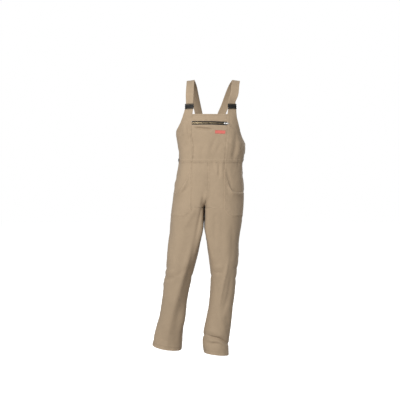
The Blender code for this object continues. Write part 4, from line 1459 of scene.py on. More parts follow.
@dataclass(frozen=True)
class WovenLabel:
    """Close satin weave of a small label, with fine ribs across it and a deeper colour at its rim."""

    name: str
    colour: Colour
    rib: float = 0.0008

    def material(self) -> Material:
        """Build the material.

        Returns:
            The material.
        """
        nodes = material_nodes(self.name)
        across, up = nodes.flat_cloth()
        ribs = up.wave(self.rib)
        threads = nodes.threads(across * 160.0, up * 1500.0)
        rim = (nodes.painted("wear_and_shade") * 0.8).share()
        colour = nodes.tones(ribs * 0.12 + threads * 0.8, self.colour, 0.82, 1.14)
        colour = nodes.blend(rim, colour, shade(self.colour, 0.74))
        return nodes.finish(colour, threads * 0.15 + 0.62, ribs * 0.4 + threads, 0.00008,
                            {"Sheen Weight": 0.2, "Sheen Roughness": 0.35})


class Finishes:
    """Every finish of the overalls, each made once."""

    def __init__(self) -> None:
        """Make the materials."""
        self.cloth = WorkCloth("tan work cloth", (0.37, 0.283, 0.195)).material()
        self.thread = Thread("tan thread", (0.43, 0.33, 0.23), 0.68).material()
        self.tape = ZipTapeCloth("dark zip tape", (0.017, 0.014, 0.011)).material()
        self.teeth = PlatedMetal("dull zip teeth", (0.33, 0.26, 0.16), 0.4).material()
        self.slider = PlatedMetal("bright zip metal", (0.93, 0.925, 0.9), 0.42).material()
        self.label = WovenLabel("red label weave", (0.64, 0.14, 0.112)).material()
        self.buckle = MouldedPlastic("black buckle plastic", (0.004, 0.004, 0.004), 0.68).material()
        self.button = MouldedPlastic("dark button plastic", (0.02, 0.016, 0.012), 0.36).material()


# ---- putting pieces on the frame
def mount(piece: Piece, material: Material, slot: str, *nodes: str,
          body: str = "garment") -> Piece:
    """Dress a piece, let it ride on its body, and hide the frame's nodes that it stands for.

    Args:
        piece: The finished piece.
        material: Its material.
        slot: The record's name for where its finish comes from; it is not used.
        nodes: Nodes of the frame that it replaces.
        body: Body of the frame that it moves with.

    Returns:
        The same piece.
    """
    piece.data.materials.append(material)
    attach(piece, body)
    if nodes:
        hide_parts(*nodes)
    LOG.info("%s: %d faces", piece.name, len(piece.data.polygons))
    return piece




# ---- upper body
@dataclass
class Bib:
    """Middle of the bib: its front panel, the band above the zip, and the label."""

    step: float = 0.004
    label_step: float = 0.003
    bow: float = -0.0035  # how much lower the zip runs at its closed end
    label_shares: tuple[float, float] = (0.35, 0.9)
    label_heights: tuple[float, float] = (0.775, 0.862)

    def width(self) -> float:
        """Distance between the bib's two seams, along the cloth at the zip."""
        return float(travel(TORSO.bib(np.linspace(-1.0, 1.0, 80), np.full(80, ZIP_Z)), 0)[-1])

    def zip_line(self, share: Array) -> Array:
        """Height of the middle of the zip."""
        return ZIP_Z + self.bow * np.clip(share, 0.0, 1.0) ** 2

    def front_z(self, share: Array, up: float) -> Array:
        """Height on the front panel: up 0 is the waist seam and 1 the zip's lower edge."""
        return WAIST_Z + up * (self.zip_line(share) - ZIP_SHOWN / 2 - WAIST_Z)

    def strip(self, name: str, heights: Sequence[Callable[[Array], Array]], edges: Sequence[Edge],
              shares: tuple[float, float] = (-1.0, 1.0), **others: float) -> Panel:
        """Panel that runs across the bib between two shares and two lines.

        Args:
            name: Name of the piece.
            heights: Height of its lower and its upper edge at each share.
            edges: How its first, last, lower and upper edges are made.
            shares: Shares of its first and last edges.
            others: Thickness and lift, where they aren't the usual ones.

        Returns:
            The panel.
        """
        span = shares[1] - shares[0]
        width = self.width() / 2.0 * span
        step = self.step if span == 2.0 else self.label_step
        across = stations(width, edges[0], edges[1], step)[0]
        share = shares[0] + across / width * span
        low, high = (line(share) for line in heights)
        up = stations(high - low, edges[2], edges[3], step).T
        sewn = sewn_round(edges, (across, width - across, up, (high - low) - up))
        return Panel(name, TORSO.bib(share, low + up), 1, sewn, **others)

    def front(self) -> Panel:
        """Front panel, from the waist seam to the zip."""
        heights = (lambda s: np.full_like(s, WAIST_Z), lambda s: self.zip_line(s) - ZIP_SHOWN / 2)
        return self.strip("bib_front_cloth", heights, (UNDER, UNDER, WAIST_OVER, BOUND))

    def band(self) -> Panel:
        """Band above the zip, up to the top of the bib."""
        heights = (lambda s: self.zip_line(s) + ZIP_SHOWN / 2, lambda s: np.full_like(s, BIB_TOP_Z))
        return self.strip("bib_band_cloth", heights, (UNDER, UNDER, BOUND, TOP_HEM))

    def label(self) -> Panel:
        """Plain woven label, sewn on all round.

        Returns:
            The panel.
        """
        edge = Edge(EdgeKind.TURNED, 0.0022, (0.0014,))
        low, high = self.label_heights
        heights = (lambda s: self.front_z(s, low), lambda s: self.front_z(s, high))
        return self.strip("label_weave_cloth", heights, (edge,) * 4, self.label_shares, thick=0.0006,
                          lift=0.0008)


@dataclass
class SidePanel:
    """Side panel of the bib with its strap tab, from the bib seam round to the side seam."""

    label: str
    side: int
    armhole: Pairs  # share and height along the armhole's edge
    tab: Workplace
    step: float = 0.0044
    tuck: float = 0.0034  # how far the tab runs on behind the buckle's bar
    behind: float = 0.0017  # how far back it lies there

    def panel(self) -> Panel:
        """The panel, its rows level and its last column the side seam and then the armhole.

        Returns:
            The panel.
        """
        tab_end = Edge(EdgeKind.TURNED, 0.015, (0.0132,))
        high = TAB_TOP_Z + self.tuck
        z = WAIST_Z + stations(high - WAIST_Z, WAIST_OVER, tab_end, self.step)[0]
        shares, heights = zip(*self.armhole)
        below = z < heights[-1]
        reach = np.where(below, 1.0, np.minimum(smooth(z, heights, shares), 1.0))
        bound, under = BOUND.places(), UNDER.places()
        under = np.interp(np.linspace(0.0, 1.0, len(bound)), np.linspace(0.0, 1.0, len(under)), under)
        under[-1] = bound[-1]
        points, from_start, from_end = lay_across(TORSO.side_panel(self.side), z, np.zeros_like(z), reach,
                                                  OVER, np.where(below[:, None], under, bound), self.step)
        points = self.flatten_tab(points)
        seam = points[below][:, -1 - int(np.argmin(np.abs(under)))]
        away = np.where(below[:, None], from_end, distance_to(points, seam))
        first = int(np.argmax(~below))
        arm = distance_to(points, points[first:, -1])
        edges = (Sewn(Border.START, OVER, from_start), Sewn(Border.END, UNDER, away),
                 Sewn(Border.END, BOUND, arm, first), Sewn(Border.LOW, WAIST_OVER, (z - WAIST_Z)[:, None]),
                 Sewn(Border.HIGH, tab_end, (high - z)[:, None]))
        return Panel(f"bib_side_{self.label}_cloth", points, self.side, edges)

    def flatten_tab(self, points: Array) -> Array:
        """Let the top of the tab lie flat in the buckle's own plane, and step back behind its bar.

        Args:
            points: Places to work out.

        Returns:
            The points, moved.
        """
        z = points[..., 2]
        off = (points - self.tab.origin) @ self.tab.out
        flat = ease(TAB_TOP_Z - 0.04, TAB_TOP_Z - 0.004, z)
        back = self.behind * ease(TAB_TOP_Z - 0.01, TAB_TOP_Z, z)
        return points - ((off - CLOTH / 2) * flat + back)[..., None] * self.tab.out


@dataclass
class UpperBack:
    """High back panel in one piece."""

    step: float = 0.0052
    measured_z: float = -0.36  # height at which its width is measured
    top: Pairs = (
        (0.0, -0.29), (0.08, -0.294), (0.18, -0.262), (0.28, -0.215), (0.34, -0.188), (0.5, -0.183),
        (0.66, -0.188), (0.72, -0.219), (0.82, -0.28), (0.92, -0.33), (1.0, -0.337))

    def panel(self) -> Panel:
        """The panel, lapped over both side panels and over the trousers.

        Returns:
            The panel.
        """
        measured = TORSO.upper_back(np.linspace(0.0, 1.0, 200), np.full(200, self.measured_z))
        width = float(travel(measured, 0)[-1])
        share = stations(width, OVER, OVER, self.step)[0] / width
        up = stations(smooth(share, *zip(*self.top)) - WAIST_Z, WAIST_OVER, TOP_HEM, self.step).T
        points = TORSO.upper_back(share, WAIST_Z + up)
        across = travel(points, 1)
        edges = sewn_round((OVER, OVER, WAIST_OVER, TOP_HEM),
                           (across, across[:, -1:] - across, up, distance_to(points, points[-1])))
        return Panel("upper_back_cloth", points, -1, edges)


# ---- trousers
@dataclass
class Leg:
    """One side of the trousers: its front and back panels and its patch pocket."""

    label: str
    side: int
    step: float = 0.005
    close: tuple[float, float] | None = None  # heights between which the rows lie twice as close
    pocket_step: float = 0.0036
    pocket_width: float = 0.152
    pocket_lift: float = 0.0014
    gape: float = 0.0105  # how far the pocket's mouth stands off
    bottom: Pairs = (
        (0.0, -0.731), (0.24, -0.73), (0.47, -0.729), (0.71, -0.727), (0.83, -0.722), (0.93, -0.708),
        (1.0, -0.687))

    def heights(self) -> Array:
        """Heights of the panel's rows, from the hem to a little above the waist seam.

        Returns:
            The heights, upward.
        """
        hem = TROUSERS.leg(self.side).rows[-1][0]
        z = hem + stations(WAIST_Z - hem, LEG_HEM, UNDER, self.step)[0]
        if self.close:
            middles = (z[1:] + z[:-1]) / 2.0
            z = np.sort(np.concatenate([z, middles[(middles > self.close[0]) & (middles < self.close[1])]]))
        return z

    def panel(self, name: str, first: float, last: float, start: Edge, end: Edge) -> Panel:
        """One panel of the leg between two shares.

        Args:
            name: Name of the piece.
            first: Share of its first edge.
            last: Share of its last edge.
            start: How the first edge is made.
            end: How the last edge is made.

        Returns:
            The panel.
        """
        z = self.heights()
        points, *gone = lay_across(TROUSERS.form(self.side), z, np.full_like(z, first),
                                   np.full_like(z, last), start, end, self.step)
        off = [np.sign(part) * distance_to(points, points[:, np.argmin(np.abs(part[0]))]) for part in gone]
        edges = sewn_round((start, end, LEG_HEM, UNDER), (*off, travel(points, 0), (WAIST_Z - z)[:, None]))
        return Panel(name, points, -self.side, edges, leg=self.side)

    def front(self) -> Panel:
        """Front panel, from the side seam to the centre front and the inseam."""
        return self.panel(f"front_leg_{self.label}_cloth", 0.0, 1.0, UNDER, OVER if self.side > 0 else UNDER)

    def back(self) -> Panel:
        """Back panel, from the centre back and the inseam to the side seam."""
        return self.panel(f"back_leg_{self.label}_cloth", -1.0, 0.0, UNDER if self.side > 0 else OVER, OVER)

    def inner_share(self, z: Array) -> Array:
        """Share at which the front reaches the pocket's inner edge, for each height.

        Args:
            z: Heights.

        Returns:
            The shares.
        """
        levels = np.linspace(-0.76, -0.43, 67)
        tried = np.linspace(0.0, 0.9, 91)
        reached = -self.side * TROUSERS.form(self.side)(tried, levels[:, None])[..., 0]
        goal = -self.side * (FRONT_SEAM_X + self.side * POCKET_INNER)
        found = [max(np.interp(goal, row, tried), POCKET_FOLD) for row in reached]
        return np.interp(z, levels, found)

    def pocket(self) -> Panel:
        """Patch pocket, open along a curved slant from the waist to the side seam.

        Its mouth stands off in a roll: the gape times t times e to 1 less t, where t is the distance from the
        mouth over the roll's size, faded out towards both ends of the mouth.

        Returns:
            The panel.
        """
        sewn = Edge(EdgeKind.TURNED, 0.0095, (0.002, 0.0082))
        mouth = Edge(EdgeKind.TURNED, 0.013, (0.0022, 0.0115))
        part = stations(self.pocket_width, PLAIN, sewn, self.pocket_step)[0] / self.pocket_width
        low, high = (smooth(part, *zip(*curve)) for curve in (self.bottom, POCKET_MOUTHS[self.side]))
        z = low + stations(high - low, sewn, mouth, self.pocket_step).T
        points = TROUSERS.form(self.side)(0.003 + part * (self.inner_share(z) - 0.003), z)
        from_side = travel(points, 1)
        from_inner, from_low, from_mouth = (distance_to(points, line)
                                            for line in (points[:, -1], points[0], points[-1]))
        rolled = (from_mouth + 0.0015) / 0.0085
        rim = np.minimum(from_side, np.minimum(from_inner, from_low))
        lift = (self.pocket_lift - 0.0005 * (1.0 - ease(0.0, 0.006, rim))
                + self.gape * bump(part - 0.68, 0.33) * ease(0.01, 0.046, from_inner)
                * rolled * np.exp(1.0 - rolled))
        edges = sewn_round((PLAIN, sewn, sewn, mouth), (from_side, from_inner, from_low, from_mouth))
        return Panel(f"pocket_{self.label}_cloth", points, -self.side, edges, leg=self.side,
                     lift=lift)


# ---- hard parts
class Workplace(NamedTuple):
    """A small flat place on the garment: its origin and its along, up and outward directions."""

    origin: Array
    along: Array
    up: Array
    out: Array

    def place(self, points: Array) -> Array:
        """Points given along, up and out, taken to the garment."""
        return self.origin + points @ np.stack([self.along, self.up, self.out])

    def raised(self, height: float) -> Workplace:
        """The same place with its origin moved outward."""
        return self._replace(origin=self.place(np.array([0.0, 0.0, height])))


def workplace(origin: Array, along: Array, out: Array) -> Workplace:
    """Workplace with its out direction kept, and along and up made square to it.

    Args:
        origin: Its origin.
        along: Its first direction, roughly.
        out: Its outward direction.

    Returns:
        The workplace.
    """
    out = unit(np.asarray(out, float))
    along = unit(along - out * (along @ out))
    return Workplace(np.asarray(origin, float), along, np.cross(out, along), out)


def rounded(width: float, height: float, corner: float, middle: tuple[float, float] = (0.0, 0.0),
            points: int = 5) -> Array:
    """Outline of a rectangle with quarter-round corners, going round to the left.

    Args:
        width: Its width.
        height: Its height.
        corner: Radius of its corners.
        middle: Its middle.
        points: Points on each corner.

    Returns:
        One row of (along, up) for each point.
    """
    turn = np.linspace(0.0, math.pi / 2, points)
    quarters = []
    for index, (x, y) in enumerate(((1, 1), (-1, 1), (-1, -1), (1, -1))):
        angle = turn + index * math.pi / 2
        quarters.append(np.stack([x * (width / 2 - corner) + corner * np.cos(angle),
                                  y * (height / 2 - corner) + corner * np.sin(angle)], axis=-1))
    return np.concatenate(quarters) + np.array(middle)


def outline_normals(outline: Array) -> Array:
    """Directions square to a closed outline, pointing away from its inside."""
    run = np.roll(outline, -1, axis=0) - np.roll(outline, 1, axis=0)
    return unit(np.stack([run[:, 1], -run[:, 0]], axis=-1))


def level_ring(outline: Array, height: float) -> Array:
    """Outline of (along, up) points raised to a height."""
    return np.concatenate([outline, np.full((len(outline), 1), height)], axis=1)


@dataclass
class HardPart(Surface):
    """A surface whose shapes are given along, up and out in a workplace."""

    place: Workplace | None = None

    def stack(self, rings: Array, wear_and_shade: Array) -> None:
        """Closed stack of rings, with a fan of faces from the middle of the first ring and of the last.

        Args:
            rings: Rings of points given along, up and out, from the back to the front.
            wear_and_shade: Wear of each ring.
        """
        count, size = rings.shape[:2]
        every, last = np.arange(size), (count - 1) * size
        after = np.roll(every, -1)
        fans = np.stack([[after, every, np.full(size, count * size)],
                         [every + last, after + last, np.full(size, count * size + 1)]]).swapaxes(1, 2)
        verts = np.concatenate([rings.reshape(-1, 3), rings[[0, -1]].mean(axis=1)])
        self.add(self.place.place(verts), quads(count, size, wrap_columns=True), fans,
                 wear_and_shade=np.append(np.repeat(wear_and_shade, size), [0.0, 0.0]))

    def slab(self, outline: Array, levels: Sequence[tuple[float, float]]) -> None:
        """Closed plate: an outline carried up through levels, each drawn in by its inset, with flat ends.

        Args:
            outline: Outline going round to the left.
            levels: Inset and height of each level, from the back to the front.
        """
        out = outline_normals(outline)
        rings = np.stack([level_ring(outline - out * inset, height) for inset, height in levels])
        worn = np.array([1.0 if inset > 0 and 0 < row < len(levels) - 1 else 0.25
                         for row, (inset, _) in enumerate(levels)])
        self.stack(rings, worn)

    def loop(self, outer: Array, inner: Array, low: float, high: float, edge: float) -> None:
        """Closed frame round a window: a bevelled section carried between two outlines.

        Args:
            outer: Outer outline going round to the left.
            inner: Inner outline with as many points.
            low: Height of its back face.
            high: Height of its front face.
            edge: Width of its bevels.
        """
        section = ((0.0, 0.0, low + edge), (0.0, edge, low), (1.0, -edge, low), (1.0, 0.0, low + edge),
                   (1.0, 0.0, high - edge), (1.0, -edge, high), (0.0, edge, high), (0.0, 0.0, high - edge))
        inward = unit(inner - outer)
        rings = np.stack([level_ring(outer * (1.0 - part) + inner * part + inward * shift, height)
                          for part, shift, height in section])
        wear_and_shade = np.repeat([0.9, 0.4, 0.4, 0.6, 0.6, 0.9, 0.9, 0.9], len(outer))
        faces = quads(len(section), len(outer), flip=True, wrap_rows=True, wrap_columns=True)
        self.add(self.place.place(rings), faces, wear_and_shade=wear_and_shade)

    def bar(self, path: Array, width: float, thick: float) -> None:
        """Closed bar of bevelled section, carried along a line of (along, out) points.

        Args:
            path: The line.
            width: Width of the section.
            thick: Its thickness.
        """
        ahead = unit(np.gradient(path, axis=0))
        side = np.stack([-ahead[:, 1], ahead[:, 0]], axis=-1)
        w, t, b = width / 2, thick / 2, min(width, thick) * 0.22
        section = ((-w + b, -t), (w - b, -t), (w, -t + b), (w, t - b), (w - b, t), (-w + b, t), (-w, t - b),
                   (-w, -t + b))
        rings = np.stack([np.insert(path + side * high, 1, up, axis=1) for up, high in section], axis=1)
        count = len(section)
        ends = np.stack([np.arange(count)[::-1], np.arange(count) + (len(path) - 1) * count])
        self.add(self.place.place(rings), quads(len(path), count, wrap_columns=True), ends, wear_and_shade=0.5)

    def turned(self, profile: Sequence[tuple[float, float]], count: int) -> None:
        """Closed turned part: a profile of (radius, height) spun round the outward direction.

        Args:
            profile: Its points, from the back to the front.
            count: Points in each ring.
        """
        angle = np.arange(count) * 2.0 * math.pi / count
        circle = np.stack([np.cos(angle), np.sin(angle)], axis=-1)
        rings = np.stack([level_ring(radius * circle, height) for radius, height in profile])
        self.stack(rings, np.full(len(profile), 0.4))


def touch(form: Form, around: float, z: float) -> tuple[Array, Array]:
    """Point of a form and its outward normal, from a small patch round it."""
    patch = form(np.array([around - 0.01, around + 0.01]), np.array([[z - 0.001], [z + 0.001]]))
    return patch.mean(axis=(0, 1)), grid_normals(patch, 1)[0, 0]


def tab_place(side: int) -> Workplace:
    """Workplace at the middle of a strap tab's top edge, in the tab's own plane.

    Args:
        side: +1 for the wearer's left, -1 for the right.

    Returns:
        The workplace.
    """
    form = TORSO.side_panel(side)
    low, middle, high = form(np.array([0.0, TAB_SHARE / 2, TAB_SHARE]), np.array(TAB_TOP_Z))
    along = (high - low) * side
    out = np.cross(along, np.array([0.0, 0.1, 1.0]))
    out = -out if out[1] > 0 else out
    return workplace((low + high) / 4 + middle / 2, along, out).raised(-FRAME_CLOTH / 2)


@dataclass
class Buckle:
    """Side-release buckle: a socket on the strap tab, and an insert with two sprung arms on the strap."""

    label: str
    place: Workplace
    thick: float = 0.007
    corner: float = 0.0022

    def frame_loop(self, part: HardPart, low: float, high: float, slot: tuple[float, float]) -> None:
        """Rounded frame round the slot that the cloth goes through, in the front half of the buckle.

        Args:
            part: The piece that it is added to.
            low: Its lower end.
            high: Its upper end.
            slot: Lower and upper end of the slot.
        """
        outer = rounded(BUCKLE_WIDTH, high - low, self.corner, (0.0, (low + high) / 2))
        inner = rounded(BUCKLE_WIDTH - 0.0084, slot[1] - slot[0], 0.0007, (0.0, (slot[0] + slot[1]) / 2))
        part.loop(outer, inner, -0.0002, self.thick / 2 - 0.0005, 0.0006)

    def block(self, part: HardPart, width: float, low: float, high: float, middle: float = 0.0,
              proud: float = 0.0, corner: float = 0.0016, waist: float = 0.0) -> None:
        """Body of moulded plastic with rounded edges, drawn in at half its height by its waist.

        Args:
            part: The piece that it is added to.
            width: Its width.
            low: Its lower end.
            high: Its upper end.
            middle: Its middle, sideways.
            proud: How far its front stands past the buckle's.
            corner: Radius of its corners.
            waist: How far its flanks are drawn in.
        """
        outline = rounded(width, high - low, corner, (middle, (low + high) / 2), 7)
        across = outline[:, 0] - middle
        shape = bump(outline[:, 1] - (low + high) / 2, (high - low) * 0.38)
        outline[:, 0] = middle + across * (1.0 - waist * shape)
        half = self.thick / 2 + proud
        levels = ((0.001, -half), (0.0003, -half + 0.0004), (0.0, -half + 0.001), (0.0, half - 0.001),
                  (0.0003, half - 0.0004), (0.001, half))
        part.slab(outline, levels)

    def socket(self) -> Piece:
        """Socket: its frame round the tab, its body, and a raised panel on its front.

        Returns:
            The piece.
        """
        part = HardPart(place=self.place)
        self.frame_loop(part, FRAME_GAP - 0.003, 0.0062, (0.0004, 0.0022))
        self.block(part, 0.0395, 0.0042, SOCKET_HEIGHT + FRAME_GAP, waist=0.1)
        self.block(part, 0.022, 0.0062, SOCKET_HEIGHT - 0.0022, proud=0.00025, corner=0.0022, waist=0.05)
        return part.finish(f"buckle_socket_{self.label}_body")

    def insert(self) -> Piece:
        """Insert: its frame round the strap, its body, and its two arms, each with three ribs to grip.

        Returns:
            The piece.
        """
        part = HardPart(place=self.place)
        low = SOCKET_HEIGHT + 2 * FRAME_GAP
        high = low + INSERT_HEIGHT + 0.002
        self.frame_loop(part, low + 0.0022, high, (low + 0.007, low + 0.0088))
        self.block(part, 0.048, low, low + 0.0044, proud=-0.0004)
        for side in (-1.0, 1.0):
            self.block(part, 0.0042, 0.0066, low + 0.002, side * 0.0229, proud=-0.0003, corner=0.0014)
            for rib in (0.0088, 0.0106, 0.0124):
                self.block(part, 0.0044, rib - 0.0004, rib + 0.0004, side * 0.0229, corner=0.0003)
        return part.finish(f"buckle_insert_{self.label}_body")


@dataclass
class Strap:
    """Shoulder strap of doubled cloth, from the buckle over the shoulder to the upper back."""

    label: str
    side: int
    tab: Workplace
    step: float = 0.0042
    start: float = 0.0208  # how far up the buckle it begins, behind the insert's top bar
    # half the distance between the two straps, drift to the left, y, z and facing
    over: tuple[tuple[float, ...], ...] = (
        (0.1185, -0.009, -0.086, -0.08, 0.25, -1.0, 0.35),
        (0.1205, -0.0045, -0.058, -0.03, 0.2, -0.8, 0.7),
        (0.1215, -0.001, -0.02, -0.0035, 0.15, -0.35, 1.0),
        (0.119, -0.001, 0.022, -0.0035, 0.15, 0.3, 1.0),
        (0.108, -0.004, 0.064, -0.026, 0.15, 0.75, 0.7),
        (0.093, -0.008, 0.098, -0.075, 0.12, 1.0, 0.35),
        (0.076, -0.012, 0.119, -0.13, 0.12, 1.0, 0.15),
    )
    sewn: Pairs = ((0.058, -0.19), (0.047, -0.232))

    def route(self) -> tuple[Array, Array]:
        """Middle line of the strap and the way that it faces.

        Returns:
            The line's points and outward directions.
        """
        rise = FRAME_GAP * 3 + SOCKET_HEIGHT + INSERT_HEIGHT
        points = [self.tab.place(np.array([0.0, up, out])) for up, out in
                  ((self.start, -0.0014), (rise + 0.001, -0.0012), (rise + 0.012, 0.0))]
        faces = [self.tab.out] * 3
        for half, drift, y, z, face_x, face_y, face_z in self.over:
            points.append(np.array([self.side * half + drift, y, z]))
            faces.append(unit(np.array([self.side * face_x, face_y, face_z])))
        for offset, z in self.sewn:
            depth = float(TORSO.sections.read("back", np.array(z)))
            spot, out = touch(TORSO.point, math.pi - self.side * math.atan2(offset, depth), z)
            points.append(spot + out * (CLOTH + STRAP_THICK / 2))
            faces.append(out)
        return np.array(points), np.array(faces)

    def panel(self) -> Panel:
        """The strap, its rows going along it and its columns across.

        Returns:
            The panel.
        """
        spots, faces = self.route()
        gone = travel(spots, 0)
        end = Edge(EdgeKind.TURNED, 0.03, (0.003, 0.026))
        side_edge = Edge(EdgeKind.TURNED, 0.0075, (0.003,))
        at = stations(gone[-1], PLAIN, end, self.step)[0]
        line, out = (np.stack([smooth(at, gone, part) for part in data.T], axis=-1)
                     for data in (spots, faces))
        ahead = unit(np.gradient(line, at, axis=0))
        out = unit(out - ahead * (out * ahead).sum(axis=-1, keepdims=True))
        flat = DRAPE.height(line[None], out[None], 0)[0]
        line = line + out * (flat * ease(gone[-3], gone[-2], at))[:, None]
        across = unit(np.cross(ahead, out))
        place = stations(STRAP_WIDTH, side_edge, side_edge, 0.0035)[0]
        offset = place - STRAP_WIDTH / 2
        sway = 0.001 * np.sin(at * 31.0 + self.side) * bump(at - gone[-1] / 2, gone[-1] / 3)
        base = (line + across * sway[:, None])[:, None] + across[:, None] * offset[:, None]
        base = base + out[:, None] * (STRAP_THICK / 2)
        edges = (Sewn(Border.START, side_edge, place), Sewn(Border.END, side_edge, STRAP_WIDTH - place),
                 Sewn(Border.HIGH, end, gone[-1] - at[:, None]))
        return Panel(f"strap_{self.label}_cloth", base, 1, edges, thick=0.0015, draped=False)


@dataclass
class ZipFastener:
    """Zip of the bib pocket: two tapes, their teeth, a slider with an arch, and its pull tab."""

    bib: Bib
    share: float = 0.885  # place of the slider along the zip
    pitch: float = 0.0024
    slider_size: tuple[float, float, float] = (0.012, 0.009, 0.0026)
    pin: float = 0.0011
    tab_size: tuple[float, float] = (0.021, 0.0062)

    def slider_place(self) -> Workplace:
        """Workplace in the middle of the slider's back face, just clear of the tapes.

        Returns:
            The workplace.
        """
        share = np.array([self.share, self.share + 0.01])
        line = self.bib.zip_line(share)
        out = grid_normals(TORSO.bib(share, line + np.array([[-0.0005], [0.0005]])), 1)[0, 0]
        here, beside = TORSO.bib(share, line)
        return workplace(here - out * FRAME_CLOTH, beside - here, out)

    def tapes(self) -> Panel:
        """Both tapes as one strip, with a narrow groove under the teeth.

        Returns:
            The panel.
        """
        share = np.linspace(-0.985, 0.985, 75)
        half = (0.02, 0.05, 0.12, 0.22, 0.35, 0.46, 0.5)
        up = ZIP_TAPE * np.array([*(-part for part in half[::-1]), 0.0, *half])[:, None]
        points = TORSO.bib(share, self.bib.zip_line(share) + up)
        groove = -0.0003 * bump(up, 0.0006) + 0.0001 * bump(np.abs(up) - 0.0038, 0.0008)
        return Panel("zip_tape_weave", points, 1, (Sewn(Border.LOW, PLAIN, up),), thick=0.0007,
                     lift=groove - 0.002)

    def teeth(self) -> Piece:
        """Row of moulded teeth, set by turns a little above and below the middle line.

        Each tooth is a chamfered block of three rings of four corners in its own place on the zip.

        Returns:
            The piece.
        """
        line_share = np.linspace(-0.972, self.share - 0.03, 600)
        line = TORSO.bib(line_share, self.bib.zip_line(line_share))
        path = travel(line, 0)
        count = int(path[-1] / self.pitch)
        share = np.interp((np.arange(count) + 0.5) * self.pitch, path, line_share)
        ends = np.array([-1.0, 1.0])
        beside = share[:, None] + 0.004 * ends
        level = self.bib.zip_line(beside).T + 0.001 * ends[:, None]
        patch = TORSO.bib(beside, level[..., None])
        along = unit(patch[0, :, 1] - patch[0, :, 0])
        upward = unit(patch[1, :, 0] - patch[0, :, 0])
        out = unit(np.cross(along, upward))
        origin = TORSO.bib(share, self.bib.zip_line(share))
        origin = origin + out * (DRAPE.height(origin, out, 0) - 0.002)[:, None]
        size = np.array([[1.0, 1.0, -0.0002], [1.0, 1.0, 0.0009], [0.62, 0.8, 0.0014]])
        corner = np.array([[-1.0, -1.0], [1.0, -1.0], [1.0, 1.0], [-1.0, 1.0]]) * (self.pitch * 0.36, 0.0023)
        local = np.concatenate([level_ring(corner * ring_size[:2], ring_size[2]) for ring_size in size])
        shift = np.where(np.arange(count) % 2, 0.0007, -0.0007)
        verts = (origin[:, None] + local[:, :1] * along[:, None]
                 + (local[:, 1:2] + shift[:, None, None]) * upward[:, None] + local[:, 2:] * out[:, None])
        one = np.concatenate([quads(3, 4, wrap_columns=True), [[3, 2, 1, 0]], [[8, 9, 10, 11]]])
        surface = Surface()
        surface.add(verts, one + np.arange(count)[:, None, None] * len(local))
        return surface.finish("zip_teeth", flat_shaded=True)

    def slider(self) -> Piece:
        """Slider: a plate narrower at its closed end, and the arch over the pin.

        Returns:
            The piece.
        """
        place = self.slider_place()
        long, tall, thick = self.slider_size
        outline = rounded(long, tall, 0.0026, points=7)
        outline[:, 1] *= 1.0 - 0.16 * ease(0.0, long / 2, -outline[:, 0])
        part = HardPart(place=place)
        part.slab(outline, ((0.0006, 0.0), (0.0, 0.0005), (0.0, thick - 0.0007),
                                           (0.0004, thick - 0.0002), (0.0012, thick)))
        turn = np.linspace(0.0, math.pi, 13)
        span, height = 0.003, self.pin + 0.0014
        path = np.stack([span * np.cos(turn), thick - 0.0003 + height * np.sin(turn) ** 0.55], axis=-1)
        part.bar(path, 0.0022, 0.0009)
        return part.finish("zip_slider_metal")

    def pull_tab(self) -> Piece:
        """Pull tab: a plate with a window, whose end bar is the pin, and a raised grip at its far end.

        Returns:
            The piece.
        """
        place = self.slider_place().raised(self.slider_size[2] + FRAME_GAP + self.pin / 2)
        long, wide = self.tab_size
        outer = rounded(long + self.pin / 2, wide, 0.0016, ((long - self.pin / 2) / 2, 0.0), 6)
        outer[:, 1] *= 1.0 - 0.15 * (1.0 - ease(0.0, long * 0.6, outer[:, 0]))
        inner = rounded(0.0036, 0.0031, 0.0006, (0.00245, 0.0), 6)
        part = HardPart(place=place)
        part.loop(outer, inner, -self.pin / 2, self.pin / 2, 0.0002)
        grip = rounded(0.0105, 0.0036, 0.0014, (0.0134, 0.0), 6)
        part.slab(grip, ((0.0, self.pin / 2 - 0.0002), (0.0, self.pin / 2 + 0.0002),
                                        (0.0004, self.pin / 2 + 0.0004)))
        return part.finish("zip_pull_tab_metal")


@dataclass
class SideButton:
    """Dished four-hole button at the side opening of the waist."""

    label: str
    side: int
    radius: float = 0.0085
    profile: Pairs = (
        (0.6, 0.0003), (0.93, 0.0003), (1.0, 0.0009), (1.0, 0.0019), (0.95, 0.0027), (0.86, 0.003),
        (0.76, 0.0028), (0.68, 0.0021), (0.58, 0.0018), (0.3, 0.0017), (0.1, 0.0017))

    def place(self) -> Workplace:
        """Workplace on the side of the waist, with along going round the body."""
        spot, out = touch(TORSO.point, self.side * (math.pi / 2 - 0.1), WAIST_Z + 0.014)
        return workplace(spot, np.array([0.0, 1.0, 0.0]), out)

    def build(self) -> Piece:
        """Turned button.

        Returns:
            The piece.
        """
        part = HardPart(place=self.place())
        profile = [(share * self.radius, height + 0.0009) for share, height in self.profile]
        part.turned(profile, 40)
        return part.finish(f"side_button_{self.label}_dish")

    def thread_rows(self) -> list[Row]:
        """Two bars of thread through the holes, three strands each.

        Returns:
            The rows of stitches.
        """
        place = self.place()
        rows = []
        for along in (-0.0014, 0.0014):
            for strand in (-0.0003, 0.0, 0.0003):
                ends = np.array([[along + strand, -0.0019, 0.0027], [along + strand, 0.0019, 0.0027]])
                rows.append(Row(place.place(ends), np.stack([place.out, place.out])))
        return rows


